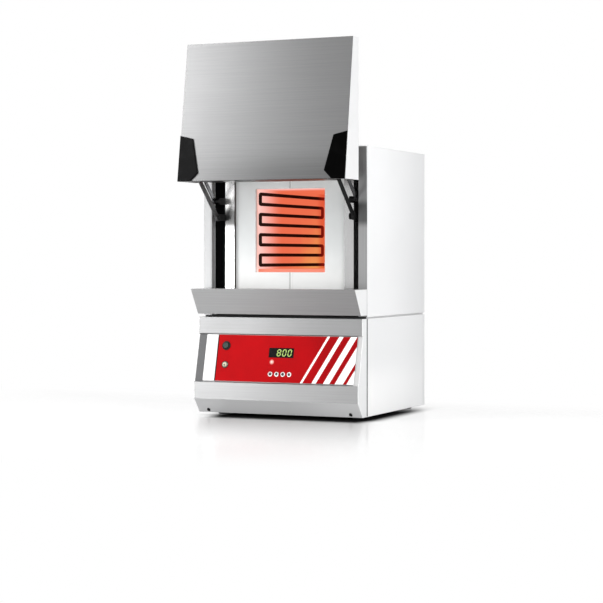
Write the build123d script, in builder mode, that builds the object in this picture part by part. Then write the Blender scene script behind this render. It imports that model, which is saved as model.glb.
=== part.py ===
from build123d import *
import math
import os

os.makedirs("parts", exist_ok=True)

# Bench muffle furnace with a door that lifts up and away on two pairs of parallel arms.
# +Z is up and the door faces -Y. The origin is on the bench, under the middle of the whole
# furnace. The door stands open. "Ahead" is a distance in front of the casing's front
# flanges, which lie in one upright plane.

# Casing
case_width = 435.0
case_depth = 400.0  # front flanges to back skin
foot_height = 8.0
foot_radius = 15.0
foot_inset = 38.0
base_height = 234.0
seam_gap = 4.0  # dark joint between the base and the furnace body
seam_inset = 4.0
body_headroom = 13.0  # over the chamber's case
skin = 1.5
side_flange = 22.0
side_return = 12.0
rear_wrap = 14.0
sheet_gap = 0.5
vent_slot_length = 60.0
vent_slot_width = 4.0
vent_slot_pitch = 12.0
vent_slot_rows = 6
rear_cover_clear = 1.0
rear_cover_margin = 6.0
terminal_room = 29.0  # behind the chamber's case, for the terminals
louvre_length = 120.0
louvre_rows = 8
louvre_pitch = 14.0

# Fascia, as distances ahead of the flanges and heights above the bench
fascia_top_ahead = 28.0
fascia_low_ahead = 55.5
fascia_foot_ahead = 26.0
fascia_top_strip = 40.0
fascia_window_height = 118.0
fascia_low_strip = 41.0
fascia_step = 4.0
fascia_skin = 1.5
cheek_gap = 1.5  # dark line between the fascia's cheeks and the base
fascia_seat_gap = 0.3

# Control panel on the sloping part of the fascia, with slope distances from its middle
panel_left_margin = 55.0
panel_right_margin = 13.5
panel_thick = 2.5
panel_edge = 1.5
label_width = 31.0
label_gap = 1.0
display_width = 66.0
display_height = 24.0
display_x = 10.0
display_up = 15.0
control_x = 11.0  # controller, centred on its four buttons
control_up = -8.0
control_side = 76.0
control_depth = 70.0
button_radius = 3.8
button_gap = 0.4
button_proud = 1.8
button_pitch = 16.7
button_count = 4
button_up = -37.0
button_travel = 1.0
button_rim = 1.9
button_rim_height = 0.6
button_collar = 1.4
button_collar_thick = 1.2
button_stop_gap = 0.3
lamp_x = -13.0
lamp_up = -7.5
lamp_radius = 2.6
switch_from_left = 23.5
switch_up = 30.0
switch_bezel_radius = 11.0
switch_bezel_height = 2.0
switch_body_radius = 9.5
switch_body_depth = 28.0
rocker_radius = 8.0
rocker_gap = 0.35
rocker_face = 3.6  # rocker face above its pivot
rocker_under = 4.0
rocker_pivot = 0.8  # pivot above the panel face
indicator_from_left = 25.0
indicator_up = -17.0
indicator_radius = 8.5
indicator_lens_radius = 5.5
indicator_proud = 4.0
fascia_screw_inset = 29.0
fascia_screw_up = 9.0
fascia_screw_radius = 4.0

# Sloping lip under the door
lip_rise = 4.0  # foot of the lip above the foot of the body
lip_height = 62.0
lip_bottom_ahead = 35.5
lip_top_ahead = 73.5

# Heating chamber and its insulation
recess = 27.0  # front of the chamber's case behind the flanges
chamber_width = 186.0
chamber_height = 205.0
chamber_past_case = 30.0  # chamber depth beyond the casing's own
chamber_rise = 106.0  # chamber floor above the foot of the body
collar_setback = 9.0  # collar behind the front of its case
collar_thick = 15.0
collar_below = 54.0
collar_above = 65.0
board_gap = 0.3
channel_width = 23.5  # between the chamber's case and the side flanges
inner_case_flange = 25.0
inner_case_below = 76.0
inner_case_above = 85.0
rear_board_thick = 30.0
hearth_thick = 8.0
hearth_gap = 0.5
rod_radius = 3.5
rod_proud = 5.5
rod_seat_gap = 0.3
rod_runs = 8
rod_pitch = 25.4
rod_lowest = 16.5
rod_front = 6.8  # front hairpins behind the collar
rod_back = 8.0  # rear hairpins in front of the rear board
rod_tail = 18.0
groove_width = 9.0
terminal_side = 22.0
terminal_length = 12.0
probe_radius = 4.0
probe_reach = 35.0
probe_up = 140.0
probe_head_radius = 14.0
probe_head_length = 22.0
vent_bore = 7.0
vent_wall = 3.0
vent_from_rear = 80.0
vent_rim = 2.0
vent_rim_height = 2.0

# Door
door_below_top = 3.0  # top of the shut door below the top of the casing
door_past_pin = 23.05  # front of the door's foot ahead of its pins
door_top_depth = 35.0
door_skin = 2.0
door_gap = 2.0  # back of the shut door ahead of the flanges
lip_gap = 5.0  # under the shut door
plug_side_clear = 7.0  # plug inside the width of the collar
plug_overlap = 17.0
plug_seal_gap = 0.5
core_inset = 9.0  # core inside the width of the chamber's case
core_gap = 1.0
slot_inset = 4.0  # slots in the door's back for the arms
slot_margin = 14.5
slot_height = 245.0
slot_into_bottom = 62.0
handle_depth = 5.0
handle_height = 112.0
handle_top_width = 33.5
handle_bulge = 52.5
handle_foot_width = 33.0
handle_chamfer_height = 20.0
handle_drop = 8.0

# Lift gear
arm_length = 160.0
arm_open_angle = 42.5
arm_shut_angle = -65.5
arm_pivot_behind = 3.0
door_pin_up = 24.4  # the arm's pin above the foot of the door
arm_out_of_case = 10.0
arm_thick = 4.0
arm_width = 13.0
arm_boss_radius = 9.0
arm_boss_thick = 7.0
arm_pin_radius = 4.0
link_rise = 40.0  # guide link above the arm, at both ends
link_out_of_case = 17.5
link_thick = 3.0
link_width = 12.0
link_pin_radius = 3.0
pin_fit = 0.08  # radial running clearance
loop_fit = 0.6  # radial clearance of the guide link at the door
pin_end = 1.5
clip_thick = 1.2
clip_lip = 3.0
clip_gap = 0.3
bracket_thick = 3.0
bracket_margin = 12.0
bracket_reach = 60.0
bracket_ear = 8.0  # ears round the pins, from the middle of a pin
bracket_bolt_radius = 4.5
bracket_bolt_height = 2.5
door_bracket_width = 24.0
channel_depth = 60.0

# Back of the base
gland_x = -120.0
gland_height = 60.0
gland_bore = 4.0
gland_hex = 12.0
gland_hex_length = 8.0
gland_nose_radius = 8.5
gland_nose_length = 12.0
gland_tail = 10.0
fuse_x = -60.0
fuse_pitch = 32.0
fuse_radius = 8.0
fuse_length = 10.0
hole_gap = 0.3

# Places that follow from the sizes above
half = case_width / 2
inner_half = half - side_flange - channel_width
inner_case_width = 2 * inner_half
collar_width = inner_case_width - 2 * inner_case_flange
core_width = inner_case_width - 2 * core_inset
plug_width = collar_width - 2 * plug_side_clear
panel_left = panel_left_margin - half
panel_right = half - panel_right_margin
switch_x = panel_left + switch_from_left
indicator_x = panel_left + indicator_from_left
arm_x = inner_half + arm_out_of_case
link_x = inner_half + link_out_of_case
base_top = foot_height + base_height
body_bottom = base_top + seam_gap
lip_bottom = body_bottom + lip_rise
lip_top = lip_bottom + lip_height
chamber_floor = body_bottom + chamber_rise
chamber_top = chamber_floor + chamber_height
inner_bottom = chamber_floor - inner_case_below
inner_top = chamber_top + inner_case_above
body_top = inner_top + body_headroom
door_height = body_top - door_below_top - lip_top - lip_gap
open_turn = math.radians(arm_open_angle)
shut_turn = math.radians(arm_shut_angle)
door_forward = arm_length * (math.cos(open_turn) - math.cos(shut_turn))
door_rise = arm_length * (math.sin(open_turn) - math.sin(shut_turn))
door_back = door_gap + door_forward
door_pivot_ahead = arm_length * math.cos(open_turn) - arm_pivot_behind
door_base_depth = door_pivot_ahead + door_past_pin - door_back
door_bottom = lip_top + lip_gap + door_rise
door_top = door_bottom + door_height
door_pivot_height = door_bottom + door_pin_up
arm_pivot_height = door_pivot_height - arm_length * math.sin(open_turn)
door_lean = math.atan2(door_base_depth - door_top_depth, door_height)
front_reach = door_back + door_base_depth + handle_depth * math.cos(door_lean)
chamber_depth = case_depth + chamber_past_case
inner_case_depth = chamber_depth + rear_board_thick + 2 * board_gap + skin
rear_cover_depth = recess + inner_case_depth + terminal_room - case_depth
flange_y = (front_reach - case_depth - rear_cover_depth) / 2
back_y = flange_y + case_depth
panel_back_y = back_y - rear_wrap
insulation_y = flange_y + recess
collar_y = insulation_y + collar_setback
board_y = collar_y + collar_thick + board_gap
chamber_back_y = insulation_y + chamber_depth
vent_y = chamber_back_y - vent_from_rear
rear_board_y = chamber_back_y + board_gap
rear_board_back_y = rear_board_y + rear_board_thick
chamber_half = chamber_width / 2
board_half = inner_half - skin - board_gap
channel_outer = half - side_flange
rod_x = chamber_half + rod_radius - rod_proud
sides = {"left": -1, "right": 1}


def ahead(distance, height):
    # Point in an upright plane across the furnace, ahead of the flanges
    return (flange_y - distance, height)


def save(piece, name):
    piece.part.label = name
    export_step(piece.part, f"parts/{name}.step")


def across(x):
    # Upright plane that looks along +X, with Y and Z as its own axes
    return Plane.YZ.offset(x)


def level(height):
    return Plane.XY.offset(height)


def facing(y):
    # Upright plane that looks along -Y, with X and Z as its own axes
    return Plane.XZ.offset(-y)


def upright_box(x_low, x_high, y_low, y_high, z_low, z_high):
    with Locations(((x_low + x_high) / 2, (y_low + y_high) / 2, (z_low + z_high) / 2)):
        Box(x_high - x_low, y_high - y_low, z_high - z_low)


# ---------- Base ----------

with BuildPart() as feet:
    foot_x = half - foot_inset
    foot_span_y = case_depth - 2 * foot_inset
    with Locations((0, flange_y + case_depth / 2, 0)):
        with GridLocations(2 * foot_x, foot_span_y, 2, 2):
            Cylinder(foot_radius, foot_height, align=(Align.CENTER, Align.CENTER, Align.MIN))
    chamfer(feet.edges().group_by(Axis.Z)[0], 1.5)
save(feet, "feet")

with BuildPart() as base_floor:
    upright_box(-half, half, flange_y, panel_back_y - sheet_gap, foot_height, foot_height + skin)
    with Locations((0, flange_y + case_depth / 2, foot_height)):
        with GridLocations(vent_slot_pitch, 0, 2 * vent_slot_rows, 1):
            Box(vent_slot_width, vent_slot_length, 4 * skin, mode=Mode.SUBTRACT)
save(base_floor, "base_floor")

for side, sign in sides.items():
    for name, low, high in (("base_side", foot_height + skin, base_top),
                            ("side_panel", body_bottom, body_top - skin)):
        with BuildPart() as side_panel:
            with BuildSketch(level(low)):
                with BuildLine():
                    Polyline((sign * channel_outer, flange_y + side_return),
                             (sign * channel_outer, flange_y),
                             (sign * half, flange_y),
                             (sign * half, panel_back_y - sheet_gap))
                    offset(amount=skin, side=Side.LEFT if sign > 0 else Side.RIGHT)
                make_face()
            extrude(amount=high - low)
            outer_corner = side_panel.edges().filter_by(Axis.Z).group_by(Axis.Y)[0]
            fillet(outer_corner.sort_by(Axis.X)[-1 if sign > 0 else 0], skin * 0.8)
        save(side_panel, f"{name}_{side}")

for name, low, high in (("base_rear_panel", foot_height, base_top), ("rear_panel", body_bottom, body_top)):
    with BuildPart() as rear_panel:
        with BuildSketch(level(low)):
            with BuildLine():
                Polyline((-half, panel_back_y), (-half, back_y), (half, back_y), (half, panel_back_y))
                offset(amount=skin, side=Side.RIGHT)
            make_face()
        extrude(amount=high - low)
        closed_end = body_top - skin if name == "rear_panel" else foot_height
        upright_box(-half, half, panel_back_y, back_y, closed_end, closed_end + skin)
        if name == "rear_panel":
            with BuildSketch(facing(back_y)):
                with Locations((0, (inner_bottom + inner_top) / 2)):
                    Rectangle(inner_case_width + 2 * sheet_gap, inner_top - inner_bottom + 2 * sheet_gap)
            extrude(amount=3 * skin, both=True, mode=Mode.SUBTRACT)
        else:
            with BuildSketch(facing(back_y)):
                with Locations((gland_x, gland_height)):
                    Circle(gland_nose_radius + hole_gap)
                with Locations((fuse_x, gland_height)):
                    with GridLocations(fuse_pitch, 0, 2, 1):
                        Circle(fuse_radius * 0.75 + hole_gap)
                with Locations((half / 2, gland_height + vent_slot_length)):
                    with GridLocations(vent_slot_pitch, 0, vent_slot_rows, 1):
                        Rectangle(vent_slot_width, vent_slot_length)
            extrude(amount=3 * skin, both=True, mode=Mode.SUBTRACT)
    save(rear_panel, name)

with BuildPart() as seam_tray:
    upright_box(-half + seam_inset, half - seam_inset, flange_y + sheet_gap,
                back_y - seam_inset, base_top, body_bottom)
save(seam_tray, "seam_tray")

# Cable gland and fuse holders on the back of the base
with BuildPart() as cable_gland:
    with BuildSketch(facing(back_y)):
        with Locations((gland_x, gland_height)):
            RegularPolygon(gland_hex, 6)
    extrude(amount=-gland_hex_length)
    with BuildSketch(facing(back_y + gland_hex_length)):
        with Locations((gland_x, gland_height)):
            Circle(gland_nose_radius)
    extrude(amount=-gland_nose_length)
    with BuildSketch(facing(back_y)):
        with Locations((gland_x, gland_height)):
            Circle(gland_nose_radius)
    extrude(amount=gland_tail)
    fillet(cable_gland.edges().filter_by(GeomType.CIRCLE).group_by(Axis.Y)[-1], 2)
    with BuildSketch(facing(back_y)):
        with Locations((gland_x, gland_height)):
            Circle(gland_bore)
    extrude(amount=2 * gland_nose_length + gland_hex_length, both=True, mode=Mode.SUBTRACT)
save(cable_gland, "cable_gland")

with BuildPart() as fuse_holders:
    with BuildSketch(facing(back_y)):
        with Locations((fuse_x, gland_height)):
            with GridLocations(fuse_pitch, 0, 2, 1):
                Circle(fuse_radius)
    extrude(amount=-fuse_length)
    chamfer(fuse_holders.edges().group_by(Axis.Y)[-1], 1)
    with BuildSketch(facing(back_y + fuse_length)):
        with Locations((fuse_x, gland_height)):
            with GridLocations(fuse_pitch, 0, 2, 1):
                Rectangle(fuse_radius, 1.6)
    extrude(amount=1.5, mode=Mode.SUBTRACT)
    with BuildSketch(facing(back_y)):
        with Locations((fuse_x, gland_height)):
            with GridLocations(fuse_pitch, 0, 2, 1):
                Circle(fuse_radius * 0.75)
    extrude(amount=3 * fuse_length)
save(fuse_holders, "fuse_holders")

# ---------- Fascia ----------

strip_bottom = base_top - fascia_top_strip
window_bottom = strip_bottom - fascia_window_height
low_bend = window_bottom - fascia_low_strip
slope_top = ahead(fascia_top_ahead - fascia_step, strip_bottom - fascia_step / 2)
slope_bottom = ahead(fascia_low_ahead - fascia_step, window_bottom + fascia_step / 2)
slope_middle = (0, (slope_top[0] + slope_bottom[0]) / 2, (slope_top[1] + slope_bottom[1]) / 2)
slope_run = slope_top[0] - slope_bottom[0]
slope_rise = slope_top[1] - slope_bottom[1]
slope_length = math.hypot(slope_run, slope_rise)
slope_plane = Plane(origin=slope_middle, x_dir=(1, 0, 0), z_dir=(0, -slope_rise, slope_run))
panel_plane = slope_plane.offset(panel_thick)
fascia_face = [
    ahead(fascia_top_ahead, base_top),
    ahead(fascia_top_ahead, strip_bottom),
    slope_top,
    slope_bottom,
    ahead(fascia_low_ahead, window_bottom),
    ahead(fascia_low_ahead, low_bend),
    ahead(fascia_foot_ahead, foot_height),
]
button_row = [control_x + (k - (button_count - 1) / 2) * button_pitch for k in range(button_count)]
button_back = button_travel + button_collar_thick + button_stop_gap

with BuildPart() as fascia:
    with BuildSketch(across(-half + skin)):
        with BuildLine():
            Polyline(ahead(fascia_seat_gap, base_top), *fascia_face, ahead(fascia_seat_gap, foot_height))
            offset(amount=fascia_skin, side=Side.LEFT)
        make_face()
    extrude(amount=case_width - 2 * skin)
    with BuildSketch(slope_plane):
        with Locations((control_x, control_up)):
            Rectangle(control_side + 2 * hole_gap, control_side + 2 * hole_gap)
        with Locations((switch_x, switch_up)):
            Circle(switch_body_radius + hole_gap)
        with Locations((indicator_x, indicator_up)):
            Circle(indicator_lens_radius + hole_gap)
    extrude(amount=3 * fascia_skin, both=True, mode=Mode.SUBTRACT)
save(fascia, "fascia")

with BuildPart() as fascia_cheeks:
    for sign in sides.values():
        with BuildSketch(across(sign * half)):
            with BuildLine():
                Polyline(ahead(cheek_gap, base_top), *fascia_face, ahead(cheek_gap, foot_height), close=True)
            make_face()
        extrude(amount=-sign * (skin - hole_gap / 3))
save(fascia_cheeks, "fascia_cheeks")

chamfer_drop = low_bend - foot_height
chamfer_back = fascia_low_ahead - fascia_foot_ahead
foot_corner = (0, *ahead(fascia_foot_ahead, foot_height))
screw_plane = Plane(origin=foot_corner, x_dir=(1, 0, 0), z_dir=(0, -chamfer_drop, -chamfer_back))
with BuildPart() as fascia_screws:
    with BuildSketch(screw_plane):
        with Locations((0, fascia_screw_up)):
            with GridLocations(2 * (half - fascia_screw_inset), 0, 2, 1):
                Circle(fascia_screw_radius)
    extrude(amount=1.8, taper=12)
    with BuildSketch(screw_plane.offset(1.8)):
        with Locations((0, fascia_screw_up)):
            with GridLocations(2 * (half - fascia_screw_inset), 0, 2, 1):
                RegularPolygon(1.8, 6)
    extrude(amount=-1.2, mode=Mode.SUBTRACT)
save(fascia_screws, "fascia_screws")

# Control panel: a plate with raised rims round the buttons
panel_high = slope_length - 2 * panel_edge
with BuildPart() as control_panel:
    with BuildSketch(slope_plane):
        with Locations(((panel_left + panel_right) / 2, 0)):
            Rectangle(panel_right - panel_left, panel_high)
    extrude(amount=panel_thick)
    with BuildSketch(panel_plane):
        with Locations(*[(x, button_up) for x in button_row]):
            Circle(button_radius + button_gap + button_rim)
    extrude(amount=button_rim_height)
    with BuildSketch(slope_plane):
        with Locations(*[(x, button_up) for x in button_row]):
            Circle(button_radius + button_gap)
        with Locations((display_x, display_up)):
            Rectangle(display_width, display_height)
        with Locations((lamp_x, lamp_up)):
            Circle(lamp_radius + hole_gap)
        with Locations((switch_x, switch_up)):
            Circle(switch_body_radius + hole_gap)
        with Locations((indicator_x, indicator_up)):
            Circle(indicator_lens_radius + hole_gap)
    extrude(amount=3 * panel_thick, both=True, mode=Mode.SUBTRACT)
save(control_panel, "control_panel")

with BuildPart() as label_strip:
    with BuildSketch(slope_plane):
        with Locations((panel_left - label_gap - label_width / 2, 0)):
            Rectangle(label_width, panel_high)
    extrude(amount=panel_thick)
    chamfer(label_strip.faces().sort_by(Axis(slope_middle, slope_plane.z_dir))[-1].edges(), 0.4)
save(label_strip, "label_strip")

with BuildPart() as controller:
    with BuildSketch(slope_plane):
        with Locations((control_x, control_up)):
            Rectangle(control_side, control_side)
    extrude(amount=-control_depth)
    with BuildSketch(slope_plane):
        with Locations(*[(x, button_up) for x in button_row]):
            Circle(button_radius + button_collar + button_gap)
    extrude(amount=-button_back - button_stop_gap, mode=Mode.SUBTRACT)
save(controller, "controller")

with BuildPart() as display_window:
    with BuildSketch(slope_plane):
        with Locations((display_x, display_up)):
            Rectangle(display_width - 2 * hole_gap, display_height - 2 * hole_gap)
    extrude(amount=panel_thick - hole_gap)
save(display_window, "display_window")

with BuildPart() as status_lamp:
    with BuildSketch(slope_plane):
        with Locations((lamp_x, lamp_up)):
            Circle(lamp_radius)
    extrude(amount=panel_thick + 1)
    fillet(status_lamp.edges().sort_by(Axis(slope_middle, slope_plane.z_dir))[-1], 0.8)
save(status_lamp, "status_lamp")

for k, x in enumerate(button_row):
    with BuildPart() as button:
        with BuildSketch(panel_plane.offset(button_proud)):
            with Locations((x, button_up)):
                Circle(button_radius)
        extrude(amount=-button_proud - panel_thick - button_stop_gap - button_collar_thick)
        fillet(button.edges().sort_by(Axis(slope_middle, slope_plane.z_dir))[-1], 0.6)
        with BuildSketch(slope_plane.offset(-button_stop_gap)):
            with Locations((x, button_up)):
                Circle(button_radius + button_collar)
        extrude(amount=-button_collar_thick)
    save(button, f"button_{k + 1}")

# Power switch: a round bezel and a rocker that turns inside it as part of a ball
rocker_room = rocker_radius + rocker_gap
switch_plane = Plane(origin=panel_plane.from_local_coords((switch_x, switch_up, 0)),
                     x_dir=(1, 0, 0), z_dir=panel_plane.z_dir)
with BuildPart() as power_switch_body:
    with BuildSketch(switch_plane):
        Circle(switch_bezel_radius)
    extrude(amount=switch_bezel_height)
    fillet(power_switch_body.edges().sort_by(Axis(switch_plane.origin, switch_plane.z_dir))[-1], 0.8)
    with BuildSketch(switch_plane):
        Circle(switch_body_radius)
    extrude(amount=-switch_body_depth)
    with BuildSketch(switch_plane.offset(switch_bezel_height)):
        Circle(rocker_room)
    extrude(amount=-switch_bezel_height - rocker_under - rocker_radius, mode=Mode.SUBTRACT)
save(power_switch_body, "power_switch_body")

rocker_plane = switch_plane.offset(rocker_pivot)
with BuildPart() as power_switch_rocker:
    with BuildSketch(Plane(origin=rocker_plane.origin, x_dir=(1, 0, 0), z_dir=-rocker_plane.y_dir)):
        with BuildLine():
            face_edge = math.sqrt(rocker_radius ** 2 - rocker_face ** 2)
            under_edge = math.sqrt(rocker_radius ** 2 - rocker_under ** 2)
            ThreePointArc((face_edge, rocker_face), (rocker_radius, 0), (under_edge, -rocker_under))
            Polyline((under_edge, -rocker_under), (0, -rocker_under), (0, rocker_face),
                     (face_edge, rocker_face))
        make_face()
    revolve(axis=Axis(rocker_plane.origin, rocker_plane.z_dir))
save(power_switch_rocker, "power_switch_rocker")

# Indicator: a bright ring and its lens
indicator_plane = Plane(origin=panel_plane.from_local_coords((indicator_x, indicator_up, 0)),
                        x_dir=(1, 0, 0), z_dir=panel_plane.z_dir)
with BuildPart() as indicator_bezel:
    with BuildSketch(indicator_plane):
        Circle(indicator_radius)
        Circle(indicator_lens_radius + hole_gap, mode=Mode.SUBTRACT)
    extrude(amount=indicator_proud * 0.75)
    chamfer(indicator_bezel.edges().group_by(
        Axis(indicator_plane.origin, indicator_plane.z_dir))[-1].sort_by(SortBy.LENGTH)[-1], 1.2)
save(indicator_bezel, "indicator_bezel")

with BuildPart() as indicator_lens:
    with BuildSketch(indicator_plane.offset(indicator_proud)):
        Circle(indicator_lens_radius)
    extrude(amount=-indicator_proud - panel_thick - 3 * fascia_skin)
    fillet(indicator_lens.edges().sort_by(Axis(indicator_plane.origin, indicator_plane.z_dir))[-1], 1.5)
save(indicator_lens, "indicator_lens")

# ---------- Furnace body ----------

with BuildPart() as top_panel:
    upright_box(-half, half, flange_y, panel_back_y - sheet_gap, body_top - skin, body_top)
    upright_box(-channel_outer + sheet_gap, channel_outer - sheet_gap, flange_y, flange_y + skin,
                inner_top, body_top - skin)
    with Locations((0, vent_y, body_top)):
        Cylinder(vent_bore + vent_wall + hole_gap, 4 * skin, mode=Mode.SUBTRACT)
    with Locations((0, flange_y + case_depth / 2, body_top)):
        with GridLocations(vent_slot_pitch, 0, 2 * vent_slot_rows, 1):
            Box(vent_slot_width, vent_slot_length, 4 * skin, mode=Mode.SUBTRACT)
save(top_panel, "top_panel")

# Lip: a bent sheet with white cheeks
lip_outline = [
    ahead(sheet_gap, lip_bottom),
    ahead(lip_bottom_ahead, lip_bottom),
    ahead(lip_top_ahead, lip_top),
    ahead(sheet_gap, lip_top),
]
with BuildPart() as front_lip:
    with BuildSketch(across(-half + skin)):
        with BuildLine():
            Polyline(*lip_outline)
            offset(amount=skin, side=Side.RIGHT)
        make_face()
    extrude(amount=case_width - 2 * skin)
save(front_lip, "front_lip")

with BuildPart() as lip_cheeks:
    for sign in sides.values():
        with BuildSketch(across(sign * half)):
            with BuildLine():
                Polyline(*lip_outline, close=True)
            make_face()
        extrude(amount=-sign * (skin - hole_gap / 3))
save(lip_cheeks, "lip_cheeks")

# Rear cover over the terminals
cover_half = inner_half + rear_cover_clear + skin
cover_bottom = inner_bottom - rear_cover_margin
cover_top = inner_top + rear_cover_margin
cover_middle = (cover_bottom + cover_top) / 2
with BuildPart() as rear_cover:
    upright_box(-cover_half, cover_half, back_y, back_y + rear_cover_depth, cover_bottom, cover_top)
    fillet(rear_cover.edges().filter_by(Axis.Z).group_by(Axis.Y)[-1], 4)
    offset(amount=-skin, openings=rear_cover.faces().sort_by(Axis.Y)[0])
    with BuildSketch(facing(back_y + rear_cover_depth)):
        with Locations((0, cover_middle)):
            with GridLocations(2 * louvre_length * 0.6, louvre_pitch, 2, louvre_rows):
                Rectangle(louvre_length, vent_slot_width)
    extrude(amount=2 * skin, mode=Mode.SUBTRACT)
save(rear_cover, "rear_cover")

# Black strips that close the arm channels
with BuildPart() as channel_backs:
    for sign in sides.values():
        x_pair = sorted((sign * (inner_half + board_gap), sign * (half - skin - board_gap)))
        upright_box(*x_pair, flange_y + channel_depth, flange_y + channel_depth + skin,
                    body_bottom + board_gap, body_top - skin - board_gap)
save(channel_backs, "channel_backs")

# ---------- Heating chamber ----------

inner_back_y = insulation_y + inner_case_depth
tail_x = rod_x
tail_heights = [chamber_floor + rod_lowest, chamber_floor + rod_lowest + (rod_runs - 1) * rod_pitch]
probe_height = chamber_floor + probe_up
with BuildPart() as inner_case:
    upright_box(-inner_half, inner_half, insulation_y, inner_back_y, inner_bottom, inner_top)
    offset(amount=-skin, openings=inner_case.faces().sort_by(Axis.Y)[0])
    with BuildSketch(facing(insulation_y)):
        with Locations((0, (inner_bottom + inner_top) / 2)):
            Rectangle(inner_case_width, inner_top - inner_bottom)
        with Locations((0, (chamber_floor - collar_below + chamber_top + collar_above) / 2)):
            Rectangle(collar_width + 2 * board_gap,
                      chamber_height + collar_below + collar_above + 2 * board_gap, mode=Mode.SUBTRACT)
    extrude(amount=-skin)
    with BuildSketch(facing(inner_back_y)):
        with Locations(*[(sign * tail_x, z) for sign in sides.values() for z in tail_heights]):
            Circle(rod_radius + 2)
        with Locations((0, probe_height)):
            Circle(probe_radius + 1)
    extrude(amount=3 * skin, both=True, mode=Mode.SUBTRACT)
    with Locations((0, vent_y, inner_top)):
        Cylinder(vent_bore + vent_wall + hole_gap, 4 * skin, mode=Mode.SUBTRACT)
    for y in (flange_y + foot_inset + channel_depth, back_y - foot_inset):
        upright_box(-board_half, board_half, y, y + foot_inset / 2, body_bottom, inner_bottom)
save(inner_case, "inner_case")

collar_bottom = chamber_floor - collar_below
collar_top = chamber_top + collar_above
for side, sign in sides.items():
    with BuildPart() as collar:
        with BuildSketch(facing(collar_y)):
            with Locations((sign * (board_gap + collar_width / 2) / 2, (collar_bottom + collar_top) / 2)):
                Rectangle(collar_width / 2 - board_gap, collar_top - collar_bottom)
            with Locations((0, (chamber_floor + chamber_top) / 2)):
                Rectangle(chamber_width, chamber_height, mode=Mode.SUBTRACT)
        extrude(amount=-collar_thick)
    save(collar, f"collar_{side}")

# Side boards carry the rods in grooves
run_heights = [chamber_floor + rod_lowest + k * rod_pitch for k in range(rod_runs)]
front_bend_y = board_y + rod_front
back_bend_y = chamber_back_y - rod_back
board_bottom = inner_bottom + skin + board_gap
board_top = inner_top - skin - board_gap
groove_depth = 2 * rod_radius - rod_proud + rod_seat_gap
for side, sign in sides.items():
    with BuildPart() as side_board:
        x_pair = sorted((sign * chamber_half, sign * board_half))
        upright_box(*x_pair, board_y, chamber_back_y, board_bottom, board_top)
        with BuildSketch(across(sign * chamber_half)):
            for k, z in enumerate(run_heights):
                tail = k in (0, rod_runs - 1)
                y_high = chamber_back_y if tail else back_bend_y + groove_width / 2
                y_low = front_bend_y - groove_width / 2
                with Locations(((y_low + y_high) / 2, z)):
                    Rectangle(y_high - y_low, groove_width)
            for k in range(rod_runs - 1):
                bend_y = front_bend_y if k % 2 == 0 else back_bend_y
                with Locations((bend_y, run_heights[k] + rod_pitch / 2)):
                    Rectangle(groove_width, rod_pitch)
        extrude(amount=sign * groove_depth, mode=Mode.SUBTRACT)
    save(side_board, f"side_board_{side}")

    # One rod: forward along the lowest run, then to and fro up the wall
    path_points = [(inner_back_y + rod_tail, run_heights[0])]
    for k, z in enumerate(run_heights):
        forward = k % 2 == 0
        if k > 0:
            path_points.append((back_bend_y if forward else front_bend_y, z))
        if k < rod_runs - 1:
            path_points.append((front_bend_y if forward else back_bend_y, z))
    path_points.append((inner_back_y + rod_tail, run_heights[-1]))
    with BuildPart() as element:
        with BuildLine(across(sign * rod_x)):
            Polyline(*path_points)
        with BuildSketch(facing(path_points[0][0])):
            with Locations((sign * rod_x, path_points[0][1])):
                Circle(rod_radius)
        sweep(transition=Transition.RIGHT)
    save(element, f"element_{side}")

for name, low, high in (("floor_board", board_bottom, chamber_floor), ("roof_board", chamber_top, board_top)):
    with BuildPart() as board:
        upright_box(-chamber_half + board_gap, chamber_half - board_gap, board_y, chamber_back_y, low, high)
        if name == "roof_board":
            with Locations((0, vent_y, chamber_top)):
                Cylinder(vent_bore + vent_wall + hole_gap, 3 * inner_case_above, mode=Mode.SUBTRACT)
    save(board, name)

with BuildPart() as rear_board:
    upright_box(-board_half, board_half, rear_board_y, rear_board_back_y, board_bottom, board_top)
    with BuildSketch(facing(rear_board_y)):
        with Locations(*[(sign * tail_x, z) for sign in sides.values() for z in tail_heights]):
            Circle(rod_radius + rod_seat_gap)
        with Locations((0, probe_height)):
            Circle(probe_radius + rod_seat_gap)
    extrude(amount=-rear_board_thick, mode=Mode.SUBTRACT)
save(rear_board, "rear_board")

with BuildPart() as hearth_tile:
    upright_box(-chamber_half + hearth_gap, chamber_half - hearth_gap, board_y + hearth_gap,
                chamber_back_y - hearth_gap, chamber_floor, chamber_floor + hearth_thick)
    chamfer(hearth_tile.faces().sort_by(Axis.Z)[-1].edges(), 1)
save(hearth_tile, "hearth_tile")

with BuildPart() as element_terminals:
    with BuildSketch(facing(inner_back_y)):
        with Locations(*[(sign * tail_x, z) for sign in sides.values() for z in tail_heights]):
            Rectangle(terminal_side, terminal_side)
            Circle(rod_radius + rod_seat_gap, mode=Mode.SUBTRACT)
    extrude(amount=-terminal_length)
save(element_terminals, "element_terminals")

with BuildPart() as thermocouple:
    with BuildSketch(facing(chamber_back_y - probe_reach)):
        with Locations((0, probe_height)):
            Circle(probe_radius)
    extrude(amount=-(inner_back_y - chamber_back_y + probe_reach))
    fillet(thermocouple.edges().sort_by(Axis.Y)[0], probe_radius - 0.5)
    with BuildSketch(facing(inner_back_y)):
        with Locations((0, probe_height)):
            Circle(probe_head_radius)
    extrude(amount=-probe_head_length)
    chamfer(thermocouple.edges().sort_by(Axis.Y)[-1], 1.5)
save(thermocouple, "thermocouple")

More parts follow.
